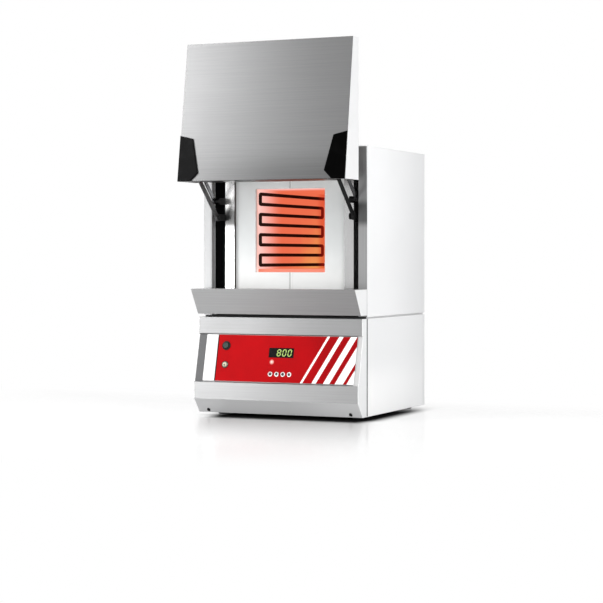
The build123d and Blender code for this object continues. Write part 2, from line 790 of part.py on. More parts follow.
with BuildPart() as vent_tube:
    with BuildSketch(level(chamber_top)):
        with Locations((0, vent_y)):
            Circle(vent_bore + vent_wall)
    extrude(amount=body_top - chamber_top)
    with BuildSketch(level(body_top)):
        with Locations((0, vent_y)):
            Circle(vent_bore + vent_wall + vent_rim)
    extrude(amount=vent_rim_height)
    with Locations((0, vent_y, chamber_top)):
        Cylinder(vent_bore, 3 * (body_top - chamber_top), mode=Mode.SUBTRACT)
save(vent_tube, "vent_tube")

# ---------- Lift gear ----------

arm_pivot = ahead(-arm_pivot_behind, arm_pivot_height)
link_pivot = ahead(-arm_pivot_behind, arm_pivot_height + link_rise)
door_pivot = ahead(door_pivot_ahead, door_pivot_height)
door_link_pivot = ahead(door_pivot_ahead, door_pivot_height + link_rise)
arm_out = arm_x + arm_boss_thick / 2
link_out = link_x + link_thick / 2


def flat_bar(sign, first, second, centre_x, thick, width):
    # A flat bar with round ends between two pivots
    middle = ((first[0] + second[0]) / 2, (first[1] + second[1]) / 2)
    turn = math.degrees(math.atan2(second[1] - first[1], second[0] - first[0]))
    with BuildSketch(across(sign * (centre_x - thick / 2))) as bar:
        with Locations(middle):
            SlotCenterToCenter(math.dist(first, second), width, rotation=turn)
    extrude(bar.sketch, amount=sign * thick)


def disc(sign, point, radius, x_low, x_high, mode=Mode.ADD):
    # A round boss, pin or bore about a pivot, between two distances from the middle
    with BuildSketch(across(sign * x_low)) as rim:
        with Locations(point):
            Circle(radius)
    extrude(rim.sketch, amount=sign * (x_high - x_low), mode=mode)


def pins(sign, start_x, arm_point, link_point):
    # Two pins, each with a clip outside the bar that it carries
    for point, radius, outer in ((arm_point, arm_pin_radius, arm_out), (link_point, link_pin_radius, link_out)):
        clip_x = outer + clip_gap
        disc(sign, point, radius, start_x, clip_x + clip_thick)
        disc(sign, point, radius + clip_lip, clip_x, clip_x + clip_thick)


with BuildPart() as pivot_brackets:
    for sign in sides.values():
        inner_x = inner_half + board_gap
        low = arm_pivot_height - bracket_margin
        high = arm_pivot_height + link_rise + bracket_margin
        plate = bracket_reach - recess
        with BuildSketch(across(sign * inner_x)):
            with Locations(ahead(-recess - plate / 2, (low + high) / 2)):
                RectangleRounded(plate, high - low, bracket_margin / 2)
        extrude(amount=sign * bracket_thick)
        for point in (arm_pivot, link_pivot):
            root = (flange_y + bracket_reach - bracket_margin, point[1])
            flat_bar(sign, point, root, inner_x + bracket_thick / 2, bracket_thick, 2 * bracket_ear)
        with BuildSketch(across(sign * (inner_x + bracket_thick))):
            with Locations(ahead(-bracket_reach * 0.75, low + bracket_margin),
                           ahead(-bracket_reach * 0.75, high - bracket_margin)):
                RegularPolygon(bracket_bolt_radius, 6)
        extrude(amount=sign * bracket_bolt_height)
        pins(sign, inner_x, arm_pivot, link_pivot)
save(pivot_brackets, "pivot_brackets")

for side, sign in sides.items():
    with BuildPart() as lift_arm:
        flat_bar(sign, arm_pivot, door_pivot, arm_x, arm_thick, arm_width)
        chamfer(lift_arm.faces().filter_by(Axis.X).edges(), 0.6)
        for point in (arm_pivot, door_pivot):
            arm_in = arm_out - arm_boss_thick
            disc(sign, point, arm_boss_radius, arm_in, arm_out)
            disc(sign, point, arm_pin_radius + pin_fit, arm_in - 1, arm_out + 1, Mode.SUBTRACT)
    save(lift_arm, f"lift_arm_{side}")

    with BuildPart() as guide_link:
        flat_bar(sign, link_pivot, door_link_pivot, link_x, link_thick, link_width)
        chamfer(guide_link.faces().filter_by(Axis.X).edges(), 0.4)
        for point, fit in ((link_pivot, pin_fit), (door_link_pivot, loop_fit)):
            disc(sign, point, link_pin_radius + fit, link_x - link_thick, link_out + 1, Mode.SUBTRACT)
    save(guide_link, f"guide_link_{side}")

# ---------- Door ----------

front_low = door_back + door_base_depth
front_high = door_back + door_top_depth
skin_run = door_skin / math.cos(door_lean)  # front skin measured level
door_plane = Plane(origin=(0, *ahead(front_low, door_bottom)), x_dir=(1, 0, 0),
                   z_dir=(0, -math.cos(door_lean), math.sin(door_lean)))

with BuildPart() as door_front:
    with BuildSketch(across(-half)):
        with BuildLine():
            Polyline(ahead(front_low, door_bottom), ahead(front_high, door_top),
                     ahead(front_high - skin_run, door_top), ahead(front_low - skin_run, door_bottom),
                     close=True)
        make_face()
    extrude(amount=case_width)
    fillet(door_front.edges().filter_by(Axis.X).group_by(Axis.Y)[0], 0.8)
save(door_front, "door_front")

plug_proud = door_gap + recess + collar_setback - plug_seal_gap
plug_low = chamber_floor - plug_overlap + door_rise
plug_high = chamber_top + plug_overlap + door_rise

# Folded pan: the door's back with its top and bottom, slotted for the arms
pan_half = half - skin - board_gap
with BuildPart() as door_pan:
    with BuildSketch(across(-pan_half)):
        with BuildLine():
            Polyline(ahead(front_low - skin_run - board_gap, door_bottom), ahead(door_back, door_bottom),
                     ahead(door_back, door_top), ahead(front_high - skin_run - board_gap, door_top))
            offset(amount=skin, side=Side.LEFT)
        make_face()
    extrude(amount=2 * pan_half)
    for sign in sides.values():
        x_pair = sorted((sign * (inner_half - slot_inset), sign * (half - slot_margin)))
        with BuildSketch(level(door_bottom - skin)):
            with Locations((sum(x_pair) / 2, flange_y - door_back - slot_into_bottom / 2 + skin)):
                Rectangle(x_pair[1] - x_pair[0], slot_into_bottom + 2 * skin)
        extrude(amount=slot_height + skin, mode=Mode.SUBTRACT)
    with BuildSketch(facing(flange_y - door_back)):
        with Locations((0, (plug_low + plug_high) / 2)):
            Rectangle(plug_width + 2 * board_gap, plug_high - plug_low + 2 * board_gap)
    extrude(amount=2 * skin, both=True, mode=Mode.SUBTRACT)
save(door_pan, "door_pan")

with BuildPart() as door_cheeks:
    for sign in sides.values():
        with BuildSketch(across(sign * half)):
            with BuildLine():
                Polyline(ahead(front_low - skin_run - board_gap, door_bottom), ahead(door_back, door_bottom),
                         ahead(door_back, door_top), ahead(front_high - skin_run - board_gap, door_top),
                         close=True)
            make_face()
        extrude(amount=-sign * skin)
save(door_cheeks, "door_cheeks")

# Plug: a wedge core inside the door, and the face that closes the chamber
with BuildPart() as door_plug:
    with BuildSketch(across(-core_width / 2)):
        with BuildLine():
            clear = skin + core_gap
            Polyline(ahead(front_low - skin_run - core_gap, door_bottom + clear),
                     ahead(door_back + clear, door_bottom + clear),
                     ahead(door_back + clear, door_top - clear),
                     ahead(front_high - skin_run - core_gap, door_top - clear), close=True)
        make_face()
    extrude(amount=core_width)
    upright_box(-plug_width / 2, plug_width / 2, flange_y - door_back - clear,
                flange_y - door_back + plug_proud, plug_low, plug_high)
    chamfer(door_plug.faces().sort_by(Axis.Y)[-1].edges(), 6)
save(door_plug, "door_plug")

# Corner grips on the foot of the door
for side, sign in sides.items():
    with BuildPart() as handle:
        with BuildSketch(door_plane):
            with BuildLine():
                Polyline((sign * half, 0),
                         (sign * (half - handle_foot_width), 0),
                         (sign * (half - handle_bulge), handle_chamfer_height),
                         (sign * (half - handle_top_width), handle_height - handle_drop),
                         (sign * half, handle_height), close=True)
            make_face()
        extrude(amount=handle_depth)
        chamfer(handle.faces().sort_by(Axis(door_plane.origin, door_plane.z_dir))[-1].edges(), 1.2)
    save(handle, f"door_handle_{side}")

with BuildPart() as door_brackets:
    for sign in sides.values():
        inner_x = core_width / 2 + board_gap
        low = door_bottom + skin + board_gap
        high = door_pivot_height + link_rise + bracket_margin
        with BuildSketch(across(sign * inner_x)):
            with Locations(ahead(door_pivot_ahead - bracket_margin / 3, (low + high) / 2)):
                RectangleRounded(door_bracket_width, high - low, bracket_margin / 2)
        extrude(amount=sign * bracket_thick)
        pins(sign, inner_x, door_pivot, door_link_pivot)
save(door_brackets, "door_brackets")
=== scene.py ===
import math

import bmesh
import bpy
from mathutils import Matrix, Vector


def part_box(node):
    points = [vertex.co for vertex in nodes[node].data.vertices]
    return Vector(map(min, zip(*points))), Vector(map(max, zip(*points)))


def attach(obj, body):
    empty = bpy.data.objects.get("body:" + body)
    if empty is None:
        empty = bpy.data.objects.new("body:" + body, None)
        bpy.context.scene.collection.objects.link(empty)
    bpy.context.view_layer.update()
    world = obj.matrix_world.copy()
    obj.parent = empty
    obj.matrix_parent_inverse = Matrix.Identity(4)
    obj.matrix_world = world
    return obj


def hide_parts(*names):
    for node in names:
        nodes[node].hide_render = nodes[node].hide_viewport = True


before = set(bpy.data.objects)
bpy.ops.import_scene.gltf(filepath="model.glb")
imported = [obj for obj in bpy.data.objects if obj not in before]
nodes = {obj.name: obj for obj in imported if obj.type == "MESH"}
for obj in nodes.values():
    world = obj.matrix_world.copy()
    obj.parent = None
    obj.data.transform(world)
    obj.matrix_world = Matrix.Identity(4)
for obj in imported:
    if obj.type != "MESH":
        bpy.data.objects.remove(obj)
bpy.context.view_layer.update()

scene = bpy.context.scene
print("furnace frame loaded:", len(nodes), "nodes")


# places that the finishes and pieces share, read from the frame

def low(node, axis):
    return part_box(node)[0][axis]


def high(node, axis):
    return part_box(node)[1][axis]


def middle(node):
    lowest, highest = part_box(node)
    return (Vector(lowest) + Vector(highest)) / 2


sideX, depthY, heightZ = 0, 1, 2
flangeY = low("side_panel_left", depthY)          # front face of the casing
backY = high("rear_panel", depthY)
mouthY = low("collar_left", depthY)               # front of the insulation
chamberY = high("collar_left", depthY)            # where the hot walls start
chamberBackY = high("side_board_left", depthY)
chamberHalf = -high("side_board_left", sideX)
chamberFloor = high("floor_board", heightZ)
chamberRoof = low("roof_board", heightZ)


# Shader kit. A noise is given as (grains to a metre, detail, roughness), a bump as (strength,
# depth, radius of rounded edges), and a roughness as its least and how much the noise adds.

bevelSamples = 4


class Wire:
    # a socket that plain arithmetic works on

    def __init__(self, finish, socket):
        self.finish = finish
        self.socket = socket

    def maths(self, operation, *values):
        return self.finish.node("ShaderNodeMath", {"operation": operation}, dict(enumerate(values)))

    def __add__(self, other):
        return self.maths("ADD", self, other)

    def __radd__(self, other):
        return self.maths("ADD", other, self)

    def __sub__(self, other):
        return self.maths("SUBTRACT", self, other)

    def __rsub__(self, other):
        return self.maths("SUBTRACT", other, self)

    def __mul__(self, other):
        return self.maths("MULTIPLY", self, other)

    def __rmul__(self, other):
        return self.maths("MULTIPLY", other, self)

    def __truediv__(self, other):
        return self.maths("DIVIDE", self, other)

    def __pow__(self, other):
        return self.maths("POWER", self, other)

    def __abs__(self):
        return self.maths("ABSOLUTE", self, 0)

    def __gt__(self, other):
        return self.maths("GREATER_THAN", self, other)

    def __lt__(self, other):
        return self.maths("LESS_THAN", self, other)

    def larger(self, other):
        return self.maths("MAXIMUM", self, other)

    def fade(self, start, end, origin=0.0):
        # 0 at start, 1 at end, smooth between, both counted from the origin
        settings = {"interpolation_type": "SMOOTHSTEP"}
        sockets = {0: self, 1: origin + start, 2: origin + end, 3: 0, 4: 1}
        return self.finish.node("ShaderNodeMapRange", settings, sockets)

    def spread(self, least, more):
        return least + more * self


class Finish:
    # one material, with short ways to add its nodes

    def __init__(self, name):
        self.material = bpy.data.materials.new(name)
        self.material.use_nodes = True
        self.tree = self.material.node_tree
        self.tree.nodes.clear()
        self.end = self.tree.nodes.new("ShaderNodeOutputMaterial")

    def node(self, kind, settings=None, sockets=None, output=0):
        made = self.tree.nodes.new(kind)
        for key, value in (settings or {}).items():
            setattr(made, key, value)
        for key, value in (sockets or {}).items():
            if isinstance(value, Wire):
                self.tree.links.new(value.socket, made.inputs[key])
            else:
                made.inputs[key].default_value = value
        return Wire(self, made.outputs[output])

    def place(self):
        # metres in the furnace's own frame
        return self.node("ShaderNodeTexCoord", output="Object")

    def split(self, vector):
        parts = self.node("ShaderNodeSeparateXYZ", {}, {0: vector}).socket.node
        return [Wire(self, parts.outputs[k]) for k in range(3)]

    def rays(self, *kinds):
        path = self.node("ShaderNodeLightPath").socket.node
        return [Wire(self, path.outputs[kind]) for kind in kinds]

    def stretched(self, vector, scale):
        return self.node("ShaderNodeVectorMath", {"operation": "MULTIPLY"}, {0: vector, 1: scale})

    def noise(self, vector, scale, detail=3, roughness=0.5):
        sockets = {"Vector": vector, "Scale": scale, "Detail": detail, "Roughness": roughness}
        return self.node("ShaderNodeTexNoise", {}, sockets)

    def mixed(self, amount, first, second):
        return self.node("ShaderNodeMix", {"data_type": "RGBA"}, {0: amount, 6: first, 7: second}, 2)

    def dimmed(self, amount, colour):
        return self.mixed(amount, colour, black)

    def bump(self, height, strength, distance, edge=0.0):
        sockets = {"Strength": strength, "Distance": distance, "Height": height}
        if edge:
            sockets["Normal"] = self.node("ShaderNodeBevel", {"samples": bevelSamples}, {"Radius": edge})
        return self.node("ShaderNodeBump", {}, sockets)

    def surface(self, sockets):
        shader = self.node("ShaderNodeBsdfPrincipled", {}, sockets)
        self.tree.links.new(shader.socket, self.end.inputs["Surface"])
        return self.material


black = (0, 0, 0, 1)


def linear(level):
    # screen level, 0 to 1, as the level of light that a socket takes (the usual screen curve)
    return ((level + 0.055) / 1.055) ** 2.4 if level > 0.04 else level / 12.92


def tone(red, green, blue):
    return (linear(red), linear(green), linear(blue), 1)


def scaled(colour, share):
    return tuple(share * part for part in colour[:3]) + (1,)


def reach(*steps):
    # straight distance, from its steps along the axes
    return sum(step ** 2 for step in steps) ** 0.5


# Finishes

whiteLook = {
    "colour": tone(0.962, 0.964, 0.967),
    "cloudy": tone(0.950, 0.953, 0.956),
    "cloud": (6, 2),
    "cloudBand": (0.35, 0.75),
    "rear": tone(0.888, 0.891, 0.895),     # painted shade: the sides grow a little greyer towards the rear
    "rearShare": 0.9,
    "rearStart": 0.10,                     # behind the flanges
    "rearPast": 0.02,                      # where this would end, behind the back
    "cheekShade": 0.10,                      # painted shade on the folded cheeks of the door, lip and fascia
    "roughness": (0.38, 0.08),
    "peel": (900, 2),                      # orange peel
    "bump": (0.12, 0.0004, 0.0008),
}


def whiteCoat(paint, place):
    # powder coat: fine orange peel, a little cloudiness, painted shade greying it towards the rear; gives
    # colour, roughness and normal
    y = paint.split(place)[depthY]
    cloud = paint.noise(place, *whiteLook["cloud"])
    peel = paint.noise(place, *whiteLook["peel"])
    white = paint.mixed(cloud.fade(*whiteLook["cloudBand"]), whiteLook["colour"], whiteLook["cloudy"])
    rear = y.fade(flangeY + whiteLook["rearStart"], backY + whiteLook["rearPast"])
    white = paint.mixed(rear * whiteLook["rearShare"], white, whiteLook["rear"])
    return white, cloud.spread(*whiteLook["roughness"]), paint.bump(peel, *whiteLook["bump"])


def whitePaint(name, dim):
    paint = Finish(name)
    white, roughness, normal = whiteCoat(paint, paint.place())
    return paint.surface({"Base Color": paint.dimmed(dim, white), "Roughness": roughness, "Normal": normal})


steelLook = {
    "door": 0.155,            # how light each sheet is
    "lip": 0.385,
    "fascia": 0.345,
    "foot": 0.60,             # folded foot of the fascia, lighter as a painted reflection of the floor before it
    "pan": 0.34,
    "tint": (1, 1.004, 1.012),
    "streak": 0.90,           # grain lines against the sheet
    "streakBand": (0.3, 0.7),
    "roughness": (0.28, 0.08),
    "smudge": (9, 3),
    "smudgeRough": 0.06,
    "metallic": 0.85,
    "along": (4, 4, 700),     # grain runs across the furnace
    "grain": (1.0, 4, 0.6),
    "bump": (0.08, 0.0002, 0.0007),
}


def grey(level):
    return scaled(steelLook["tint"], level)


def brushed(steel, place, level):
    # brushed sheet: long fine grain, a few soft smudges; gives colour, roughness and grain height
    grain = steel.noise(steel.stretched(place, steelLook["along"]), *steelLook["grain"])
    smudge = steel.noise(place, *steelLook["smudge"])
    streaks = grain.fade(*steelLook["streakBand"])
    colour = steel.mixed(streaks, grey(level), grey(level * steelLook["streak"]))
    roughness = grain.spread(*steelLook["roughness"]) + steelLook["smudgeRough"] * smudge
    return colour, roughness, grain


def satinSteel(name, level, dimming):
    steel = Finish(name)
    place = steel.place()
    colour, roughness, grain = brushed(steel, place, level)
    return steel.surface({
        "Base Color": steel.dimmed(dimming(*steel.split(place)), colour),
        "Metallic": steelLook["metallic"],
        "Roughness": roughness,
        "Normal": steel.bump(grain, *steelLook["bump"]),
    })


shadeLook = {
    "doorCorner": 0.30,
    "doorCornerUp": (0.01, 0.085),         # above the sheet's bottom edge
    "doorCornerAcross": (-0.28, 0.08),
    "doorFold": 0.75,
    "doorFoldHeight": 0.0012,
    "panFold": 0.85,
    "panFoldHeight": 0.0015,
    "lip": 0.27,
    "lipAcross": (-0.15, 0.25),
}


def doorPaintedShade(x, y, z):
    # painted shade: the sheet darkens towards its lower right corner, and its bottom fold is in shade
    sill = low("door_front", heightZ)
    corner = shadeLook["doorCorner"] * (1 - z.fade(*shadeLook["doorCornerUp"], sill))
    corner = corner * x.fade(*shadeLook["doorCornerAcross"])
    return corner.larger(shadeLook["doorFold"] * (z < sill + shadeLook["doorFoldHeight"]))


def panPaintedShade(x, y, z):
    # painted shade on the pan's bottom fold
    return shadeLook["panFold"] * (z < low("door_pan", heightZ) + shadeLook["panFoldHeight"])


def lipPaintedShade(x, y, z):
    # painted shade: the lip darkens from its left end to its right
    return shadeLook["lip"] * x.fade(*shadeLook["lipAcross"])


fasciaLook = {
    "shadedEnd": (0.07, 0.07, 0.073, 1),   # painted shade on the recess left of the label
    "reflectedEnd": (0.49, 0.49, 0.49, 1),     # and painted reflection on the recess right of the panel
    "sunkBelow": 0.003,                    # how far the recess goes past the panel
    "sunkAbove": 0.002,
    "edge": 0.001,
    "footFold": 0.043,                     # height of the lowest fold
    "screwRadius": 0.00396,
    "screwRing": 0.0044,                   # shadow round each screw
    "ringColour": (0.004, 0.004, 0.004, 1),
    "topDim": 0.20,                        # painted shade on the strip above the panel, and more of it at its left
    "topLeftDim": 0.15,
    "topAcross": (-0.22, -0.04),
    # painted shade on the left of the foot fold and at the left end of the face between the folds
    "footDim": 0.16,
    "footAcross": (0.02, 0.20),
    "lowLeftDim": 0.09,
    "lowAcross": (-0.22, -0.08),
}


def fasciaSteel():
    # brushed sheet with painted light: a lighter foot fold as painted reflection, painted shade on its
    # strips, and on its sunk slope painted shade, dark at its left end, and a white painted reflection at
    # its right
    steel = Finish("fasciaSteel")
    place = steel.place()
    x, _, z = steel.split(place)
    colour, roughness, grain = brushed(steel, place, steelLook["fascia"])
    panelTop = high("control_panel", heightZ)
    panelFoot = low("control_panel", heightZ)
    edge = fasciaLook["edge"]
    fold = z < fasciaLook["footFold"]
    colour = steel.mixed(fold, colour, grey(steelLook["foot"]))
    footDim = fold * fasciaLook["footDim"] * (1 - x.fade(*fasciaLook["footAcross"]))
    top = z > panelTop + edge
    topLeft = fasciaLook["topLeftDim"] * (1 - x.fade(*fasciaLook["topAcross"]))
    topDim = top * (fasciaLook["topDim"] + topLeft)
    lowDim = (1 - fold - top) * fasciaLook["lowLeftDim"] * (1 - x.fade(*fasciaLook["lowAcross"]))
    colour = steel.dimmed(topDim + footDim + lowDim, colour)
    sunk = (z < panelTop + fasciaLook["sunkAbove"]) * (z > panelFoot - fasciaLook["sunkBelow"])
    left = sunk * (x < low("label_strip", sideX) + edge)
    right = sunk * (x > high("control_panel", sideX) - edge)
    colour = steel.mixed(left, colour, fasciaLook["shadedEnd"])
    colour = steel.mixed(right, colour, fasciaLook["reflectedEnd"])
    screwX = high("fascia_screws", sideX) - fasciaLook["screwRadius"]
    ring = reach(abs(x) - screwX, z - middle("fascia_screws").z) < fasciaLook["screwRing"]
    return steel.surface({
        "Base Color": steel.mixed(ring, colour, fasciaLook["ringColour"]),
        "Metallic": steelLook["metallic"] * (1 - left.larger(right).larger(ring)),
        "Roughness": roughness,
        "Normal": steel.bump(grain, *steelLook["bump"]),
    })


flangeLook = {
    "left": 0.31,             # painted reflection: how light the bare flange is left of the mouth
    "leftInner": 0.06,        # painted shade beside the channel
    "innerReach": (0.1860, 0.2025),
    # painted reflection on the right flange, lighter towards its top
    "right": 0.245,
    "rightTop": 0.38,
    "topReach": (0.57, 0.64),
    "smudge": 0.075,          # dark reflection of the lift gear's brackets
    "smudgeHeight": 0.494,
    "smudgeReach": (0.016, 0.038),
    "along": (900, 4, 4),     # grain runs up the flange
    "streakDim": 0.10,
    "faceDepth": 0.0012,      # the bare faces lie this close to the front
    "returnSkin": 0.0008,
    "returnFront": 0.24,      # painted shade on the inner faces beside the channels, lighter in front
    "returnDeep": 0.006,
    "returnReach": (0.0, 0.03),
    "lowDim": 0.03,           # painted shade on the white sides, towards their foot
    "lowReach": (0.33, 0.52),
}


def casingPaint():
    # the casing sides are white, but their front flanges are bare satin steel; the flanges carry painted
    # reflection and shade, the sides and the channel returns painted shade
    paint = Finish("whiteCasingSteelFlange")
    place = paint.place()
    x, y, z = paint.split(place)
    white, roughness, normal = whiteCoat(paint, place)
    white = paint.dimmed(flangeLook["lowDim"] * (1 - z.fade(*flangeLook["lowReach"])), white)
    bare = y < flangeY + flangeLook["faceDepth"]
    inner = 1 - abs(x).fade(*flangeLook["innerReach"])
    smudge = 1 - abs(z - flangeLook["smudgeHeight"]).fade(*flangeLook["smudgeReach"])
    left = paint.mixed(inner, grey(flangeLook["left"]), grey(flangeLook["leftInner"]))
    top = z.fade(*flangeLook["topReach"])
    right = paint.mixed(top, grey(flangeLook["right"]), grey(flangeLook["rightTop"]))
    right = paint.mixed(smudge, right, grey(flangeLook["smudge"]))
    steel = paint.mixed(x < 0, right, left)
    grain = paint.noise(paint.stretched(place, flangeLook["along"]), *steelLook["grain"])
    steel = paint.dimmed(flangeLook["streakDim"] * grain.fade(*steelLook["streakBand"]), steel)
    returned = (abs(x) < low("side_panel_right", sideX) + flangeLook["returnSkin"]) * (1 - bare)
    deep = y.fade(*flangeLook["returnReach"], flangeY)
    inside = paint.mixed(deep, grey(flangeLook["returnFront"]), grey(flangeLook["returnDeep"]))
    white = paint.mixed(returned, white, inside)
    return paint.surface({
        "Base Color": paint.mixed(bare, white, steel),
        "Metallic": steelLook["metallic"] * bare,
        "Roughness": roughness,
        "Normal": normal,
    })


mirrorLook = {
    "clean": tone(0.93, 0.93, 0.93),
    "heated": tone(0.87, 0.87, 0.86),
    "heat": (14, 3),
    "heatBand": (0.4, 0.8),
    # painted shade: the frame is darker right of the mouth
    "right": tone(0.70, 0.70, 0.70),
    "smudge": tone(0.22, 0.22, 0.22),      # dark reflection of the lift gear
    "smudgeShare": 0.9,
    "smudgeHeight": 0.487,
    "smudgeReach": (0.012, 0.034),
    "along": (60, 60, 8),
    "smear": (1.0, 3),
    "metallic": 0.9,
    "roughness": (0.16, 0.14),
    "bump": (0.06, 0.0004, 0.0006),
}


def mirrorSteel():
    # the polished frame round the insulation, with painted shade on its right half
    steel = Finish("polishedInnerSteel")
    place = steel.place()
    x, _, z = steel.split(place)
    smear = steel.noise(steel.stretched(place, mirrorLook["along"]), *mirrorLook["smear"])
    heat = steel.noise(place, *mirrorLook["heat"]).fade(*mirrorLook["heatBand"])
    smudge = 1 - abs(z - mirrorLook["smudgeHeight"]).fade(*mirrorLook["smudgeReach"])
    colour = steel.mixed(heat, mirrorLook["clean"], mirrorLook["heated"])
    colour = steel.mixed(x > 0, colour, mirrorLook["right"])
    colour = steel.mixed(mirrorLook["smudgeShare"] * smudge * (x < 0), colour, mirrorLook["smudge"])
    return steel.surface({
        "Base Color": colour,
        "Metallic": mirrorLook["metallic"],
        "Roughness": smear.spread(*mirrorLook["roughness"]),
        "Normal": steel.bump(smear, *mirrorLook["bump"]),
    })


blackLook = {
    "fresh": (1, 1, 1.03),
    "worn": (2.2, 2.2, 2.3),
    "wear": (40, 3),
    "wearBand": (0.45, 0.8),
    "roughSpread": 0.12,
    "bump": (0.25, 0.0003, 0.0005),
}


def blackPaint(name, level, roughness, grain=700, shine=0.07):
    paint = Finish(name)
    place = paint.place()
    speck = paint.noise(place, grain, detail=2)
    wear = paint.noise(place, *blackLook["wear"]).fade(*blackLook["wearBand"])
    fresh, worn = scaled(blackLook["fresh"], level), scaled(blackLook["worn"], level)
    return paint.surface({
        "Base Color": paint.mixed(wear, fresh, worn),
        "Roughness": speck.spread(roughness, blackLook["roughSpread"]),
        "Specular IOR Level": shine,
        "Normal": paint.bump(speck, *blackLook["bump"]),
    })


baseSideLook = {
    "foot": tone(0.99, 0.99, 0.99),        # painted light from the pale bench, near the foot
    "higher": tone(0.925, 0.928, 0.931),
    "footReach": (0.06, 0.16),
    "rearShare": 0.6,                      # how much of this painted light is lost towards the rear
    # painted shadow: a black line along the front edge, where the fascia meets it
    "shadowLine": (0.006, 0.006, 0.006, 1),
    "shadowLineDepth": 0.0042,
    "shadowLineRough": 0.3,
}


def baseSidePaint():
    # white, lighter near its foot as painted light from the bench, with a black painted shadow along its
    # front edge where the fascia meets it
    paint = Finish("whiteBaseShadowLineEdge")
    place = paint.place()
    _, y, z = paint.split(place)
    white, roughness, normal = whiteCoat(paint, place)
    tall = paint.mixed(z.fade(*baseSideLook["footReach"]), baseSideLook["foot"], baseSideLook["higher"])
    white = paint.mixed(1 - baseSideLook["rearShare"] * y.fade(flangeY, backY), white, tall)
    shadowLine = y < flangeY + baseSideLook["shadowLineDepth"]
    return paint.surface({
        "Base Color": paint.mixed(shadowLine, white, baseSideLook["shadowLine"]),
        "Roughness": roughness + baseSideLook["shadowLineRough"] * shadowLine,
        "Normal": normal,
    })


seamLook = {
    "black": (0.006, 0.006, 0.006, 1),
    "paintDepth": 0.0008,     # the outer faces are found by this depth
    "paintFrom": 0.006,       # behind the flanges
    "dust": (30, 3),
    "roughness": (0.6, 0.2),
}


def seamFinish():
    # black spacer in front, painted white where the sides show it
    paint = Finish("seamSpacer")
    place = paint.place()
    x, y, _ = paint.split(place)
    dust = paint.noise(place, *seamLook["dust"])
    outer = abs(x) > high("seam_tray", sideX) - seamLook["paintDepth"]
    outer = outer * (y > flangeY + seamLook["paintFrom"])
    return paint.surface({
        "Base Color": paint.mixed(outer, seamLook["black"], whiteLook["colour"]),
        "Roughness": dust.spread(*seamLook["roughness"]),
    })


channelLook = {
    "black": (0.002, 0.002, 0.002, 1),
    "sooty": (0.008, 0.008, 0.009, 1),
    "soot": (30, 3),
    "roughness": (0.8, 0.15),
    "shine": 0.04,
}


def channelBlack():
    paint = Finish("channelBlack")
    soot = paint.noise(paint.place(), *channelLook["soot"])
    return paint.surface({
        "Base Color": paint.mixed(soot, channelLook["black"], channelLook["sooty"]),
        "Roughness": soot.spread(*channelLook["roughness"]),
        "Specular IOR Level": channelLook["shine"],
    })


plasticLook = {
    "darker": 0.86,
    "cloud": (25, 2),
    "cloudBand": (0.3, 0.8),
    "speck": (500, 2),
    "roughSpread": 0.1,
    "bump": (0.08, 0.0002, 0.0004),
}


def plainPlastic(name, colour, roughness):
    plastic = Finish(name)
    place = plastic.place()
    speck = plastic.noise(place, *plasticLook["speck"])
    cloud = plastic.noise(place, *plasticLook["cloud"]).fade(*plasticLook["cloudBand"])
    return plastic.surface({
        "Base Color": plastic.mixed(cloud, colour, scaled(colour, plasticLook["darker"])),
        "Roughness": speck.spread(roughness, plasticLook["roughSpread"]),
        "Normal": plastic.bump(speck, *plasticLook["bump"]),
    })


glowLook = {
    "edge": tone(0.94, 0.74, 0.72),        # just behind the cool collar
    "edgeReach": (-0.020, 0.15),           # from the collar's back
    "hot": tone(0.94, 0.44, 0.31),
    "hotter": tone(0.95, 0.61, 0.34),      # low at the back
    "hotterFrom": 0.10,
    "hotterBand": (0.15, 0.95),
    "patch": (16, 3),
    "patchShare": 0.45,
    "patchMiddle": 0.5,
    "deep": tone(0.86, 0.32, 0.20),        # far end
    "deepShare": 0.75,
    "deepLength": 0.05,
    "strength": 0.92,
    "board": tone(0.60, 0.56, 0.54),       # the board itself, outside the chamber
    "charred": tone(0.30, 0.16, 0.12),     # and inside
    "sideSkin": 0.005,                     # faces this close to the room glow
    "floorSkin": 0.002,
    "backSkin": 0.004,
    "along": (300, 60, 300),
    "fibre": (1.0, 3),
    "roughness": (0.9, 0.05),
    "bump": (0.3, 0.0006),
}


def glowingBoard():
    # hot fibre board: brightest orange low at the back, washed pale next to the mouth
    board = Finish("glowingFibreBoard")
    place = board.place()
    x, y, z = board.split(place)
    patch = board.noise(place, *glowLook["patch"])
    fibre = board.noise(board.stretched(place, glowLook["along"]), *glowLook["fibre"])
    room = abs(x) < chamberHalf + glowLook["sideSkin"]
    room = room * (z > chamberFloor - glowLook["floorSkin"]) * (z < chamberRoof + glowLook["floorSkin"])
    inside = y.fade(*glowLook["edgeReach"], chamberY)
    height = (z - chamberFloor) / (chamberRoof - chamberFloor)
    lowBack = (1 - height) * y.fade(chamberY + glowLook["hotterFrom"], chamberBackY)
    lowBack = lowBack + glowLook["patchShare"] * (patch - glowLook["patchMiddle"])
    lowBack = lowBack.fade(*glowLook["hotterBand"])
    hot = board.mixed(lowBack, glowLook["hot"], glowLook["hotter"])
    far = y.fade(chamberBackY - glowLook["deepLength"], chamberBackY)
    hot = board.mixed(far * glowLook["deepShare"], hot, glowLook["deep"])
    glow = board.mixed(inside, glowLook["edge"], hot)
    cold = (1 - room).larger(y > chamberBackY + glowLook["backSkin"])
    return board.surface({
        "Base Color": board.mixed(inside * room, glowLook["board"], glowLook["charred"]),
        "Roughness": fibre.spread(*glowLook["roughness"]),
        "Emission Color": board.dimmed(cold, glow),
        "Emission Strength": glowLook["strength"],
        "Normal": board.bump(fibre, *glowLook["bump"]),
    })


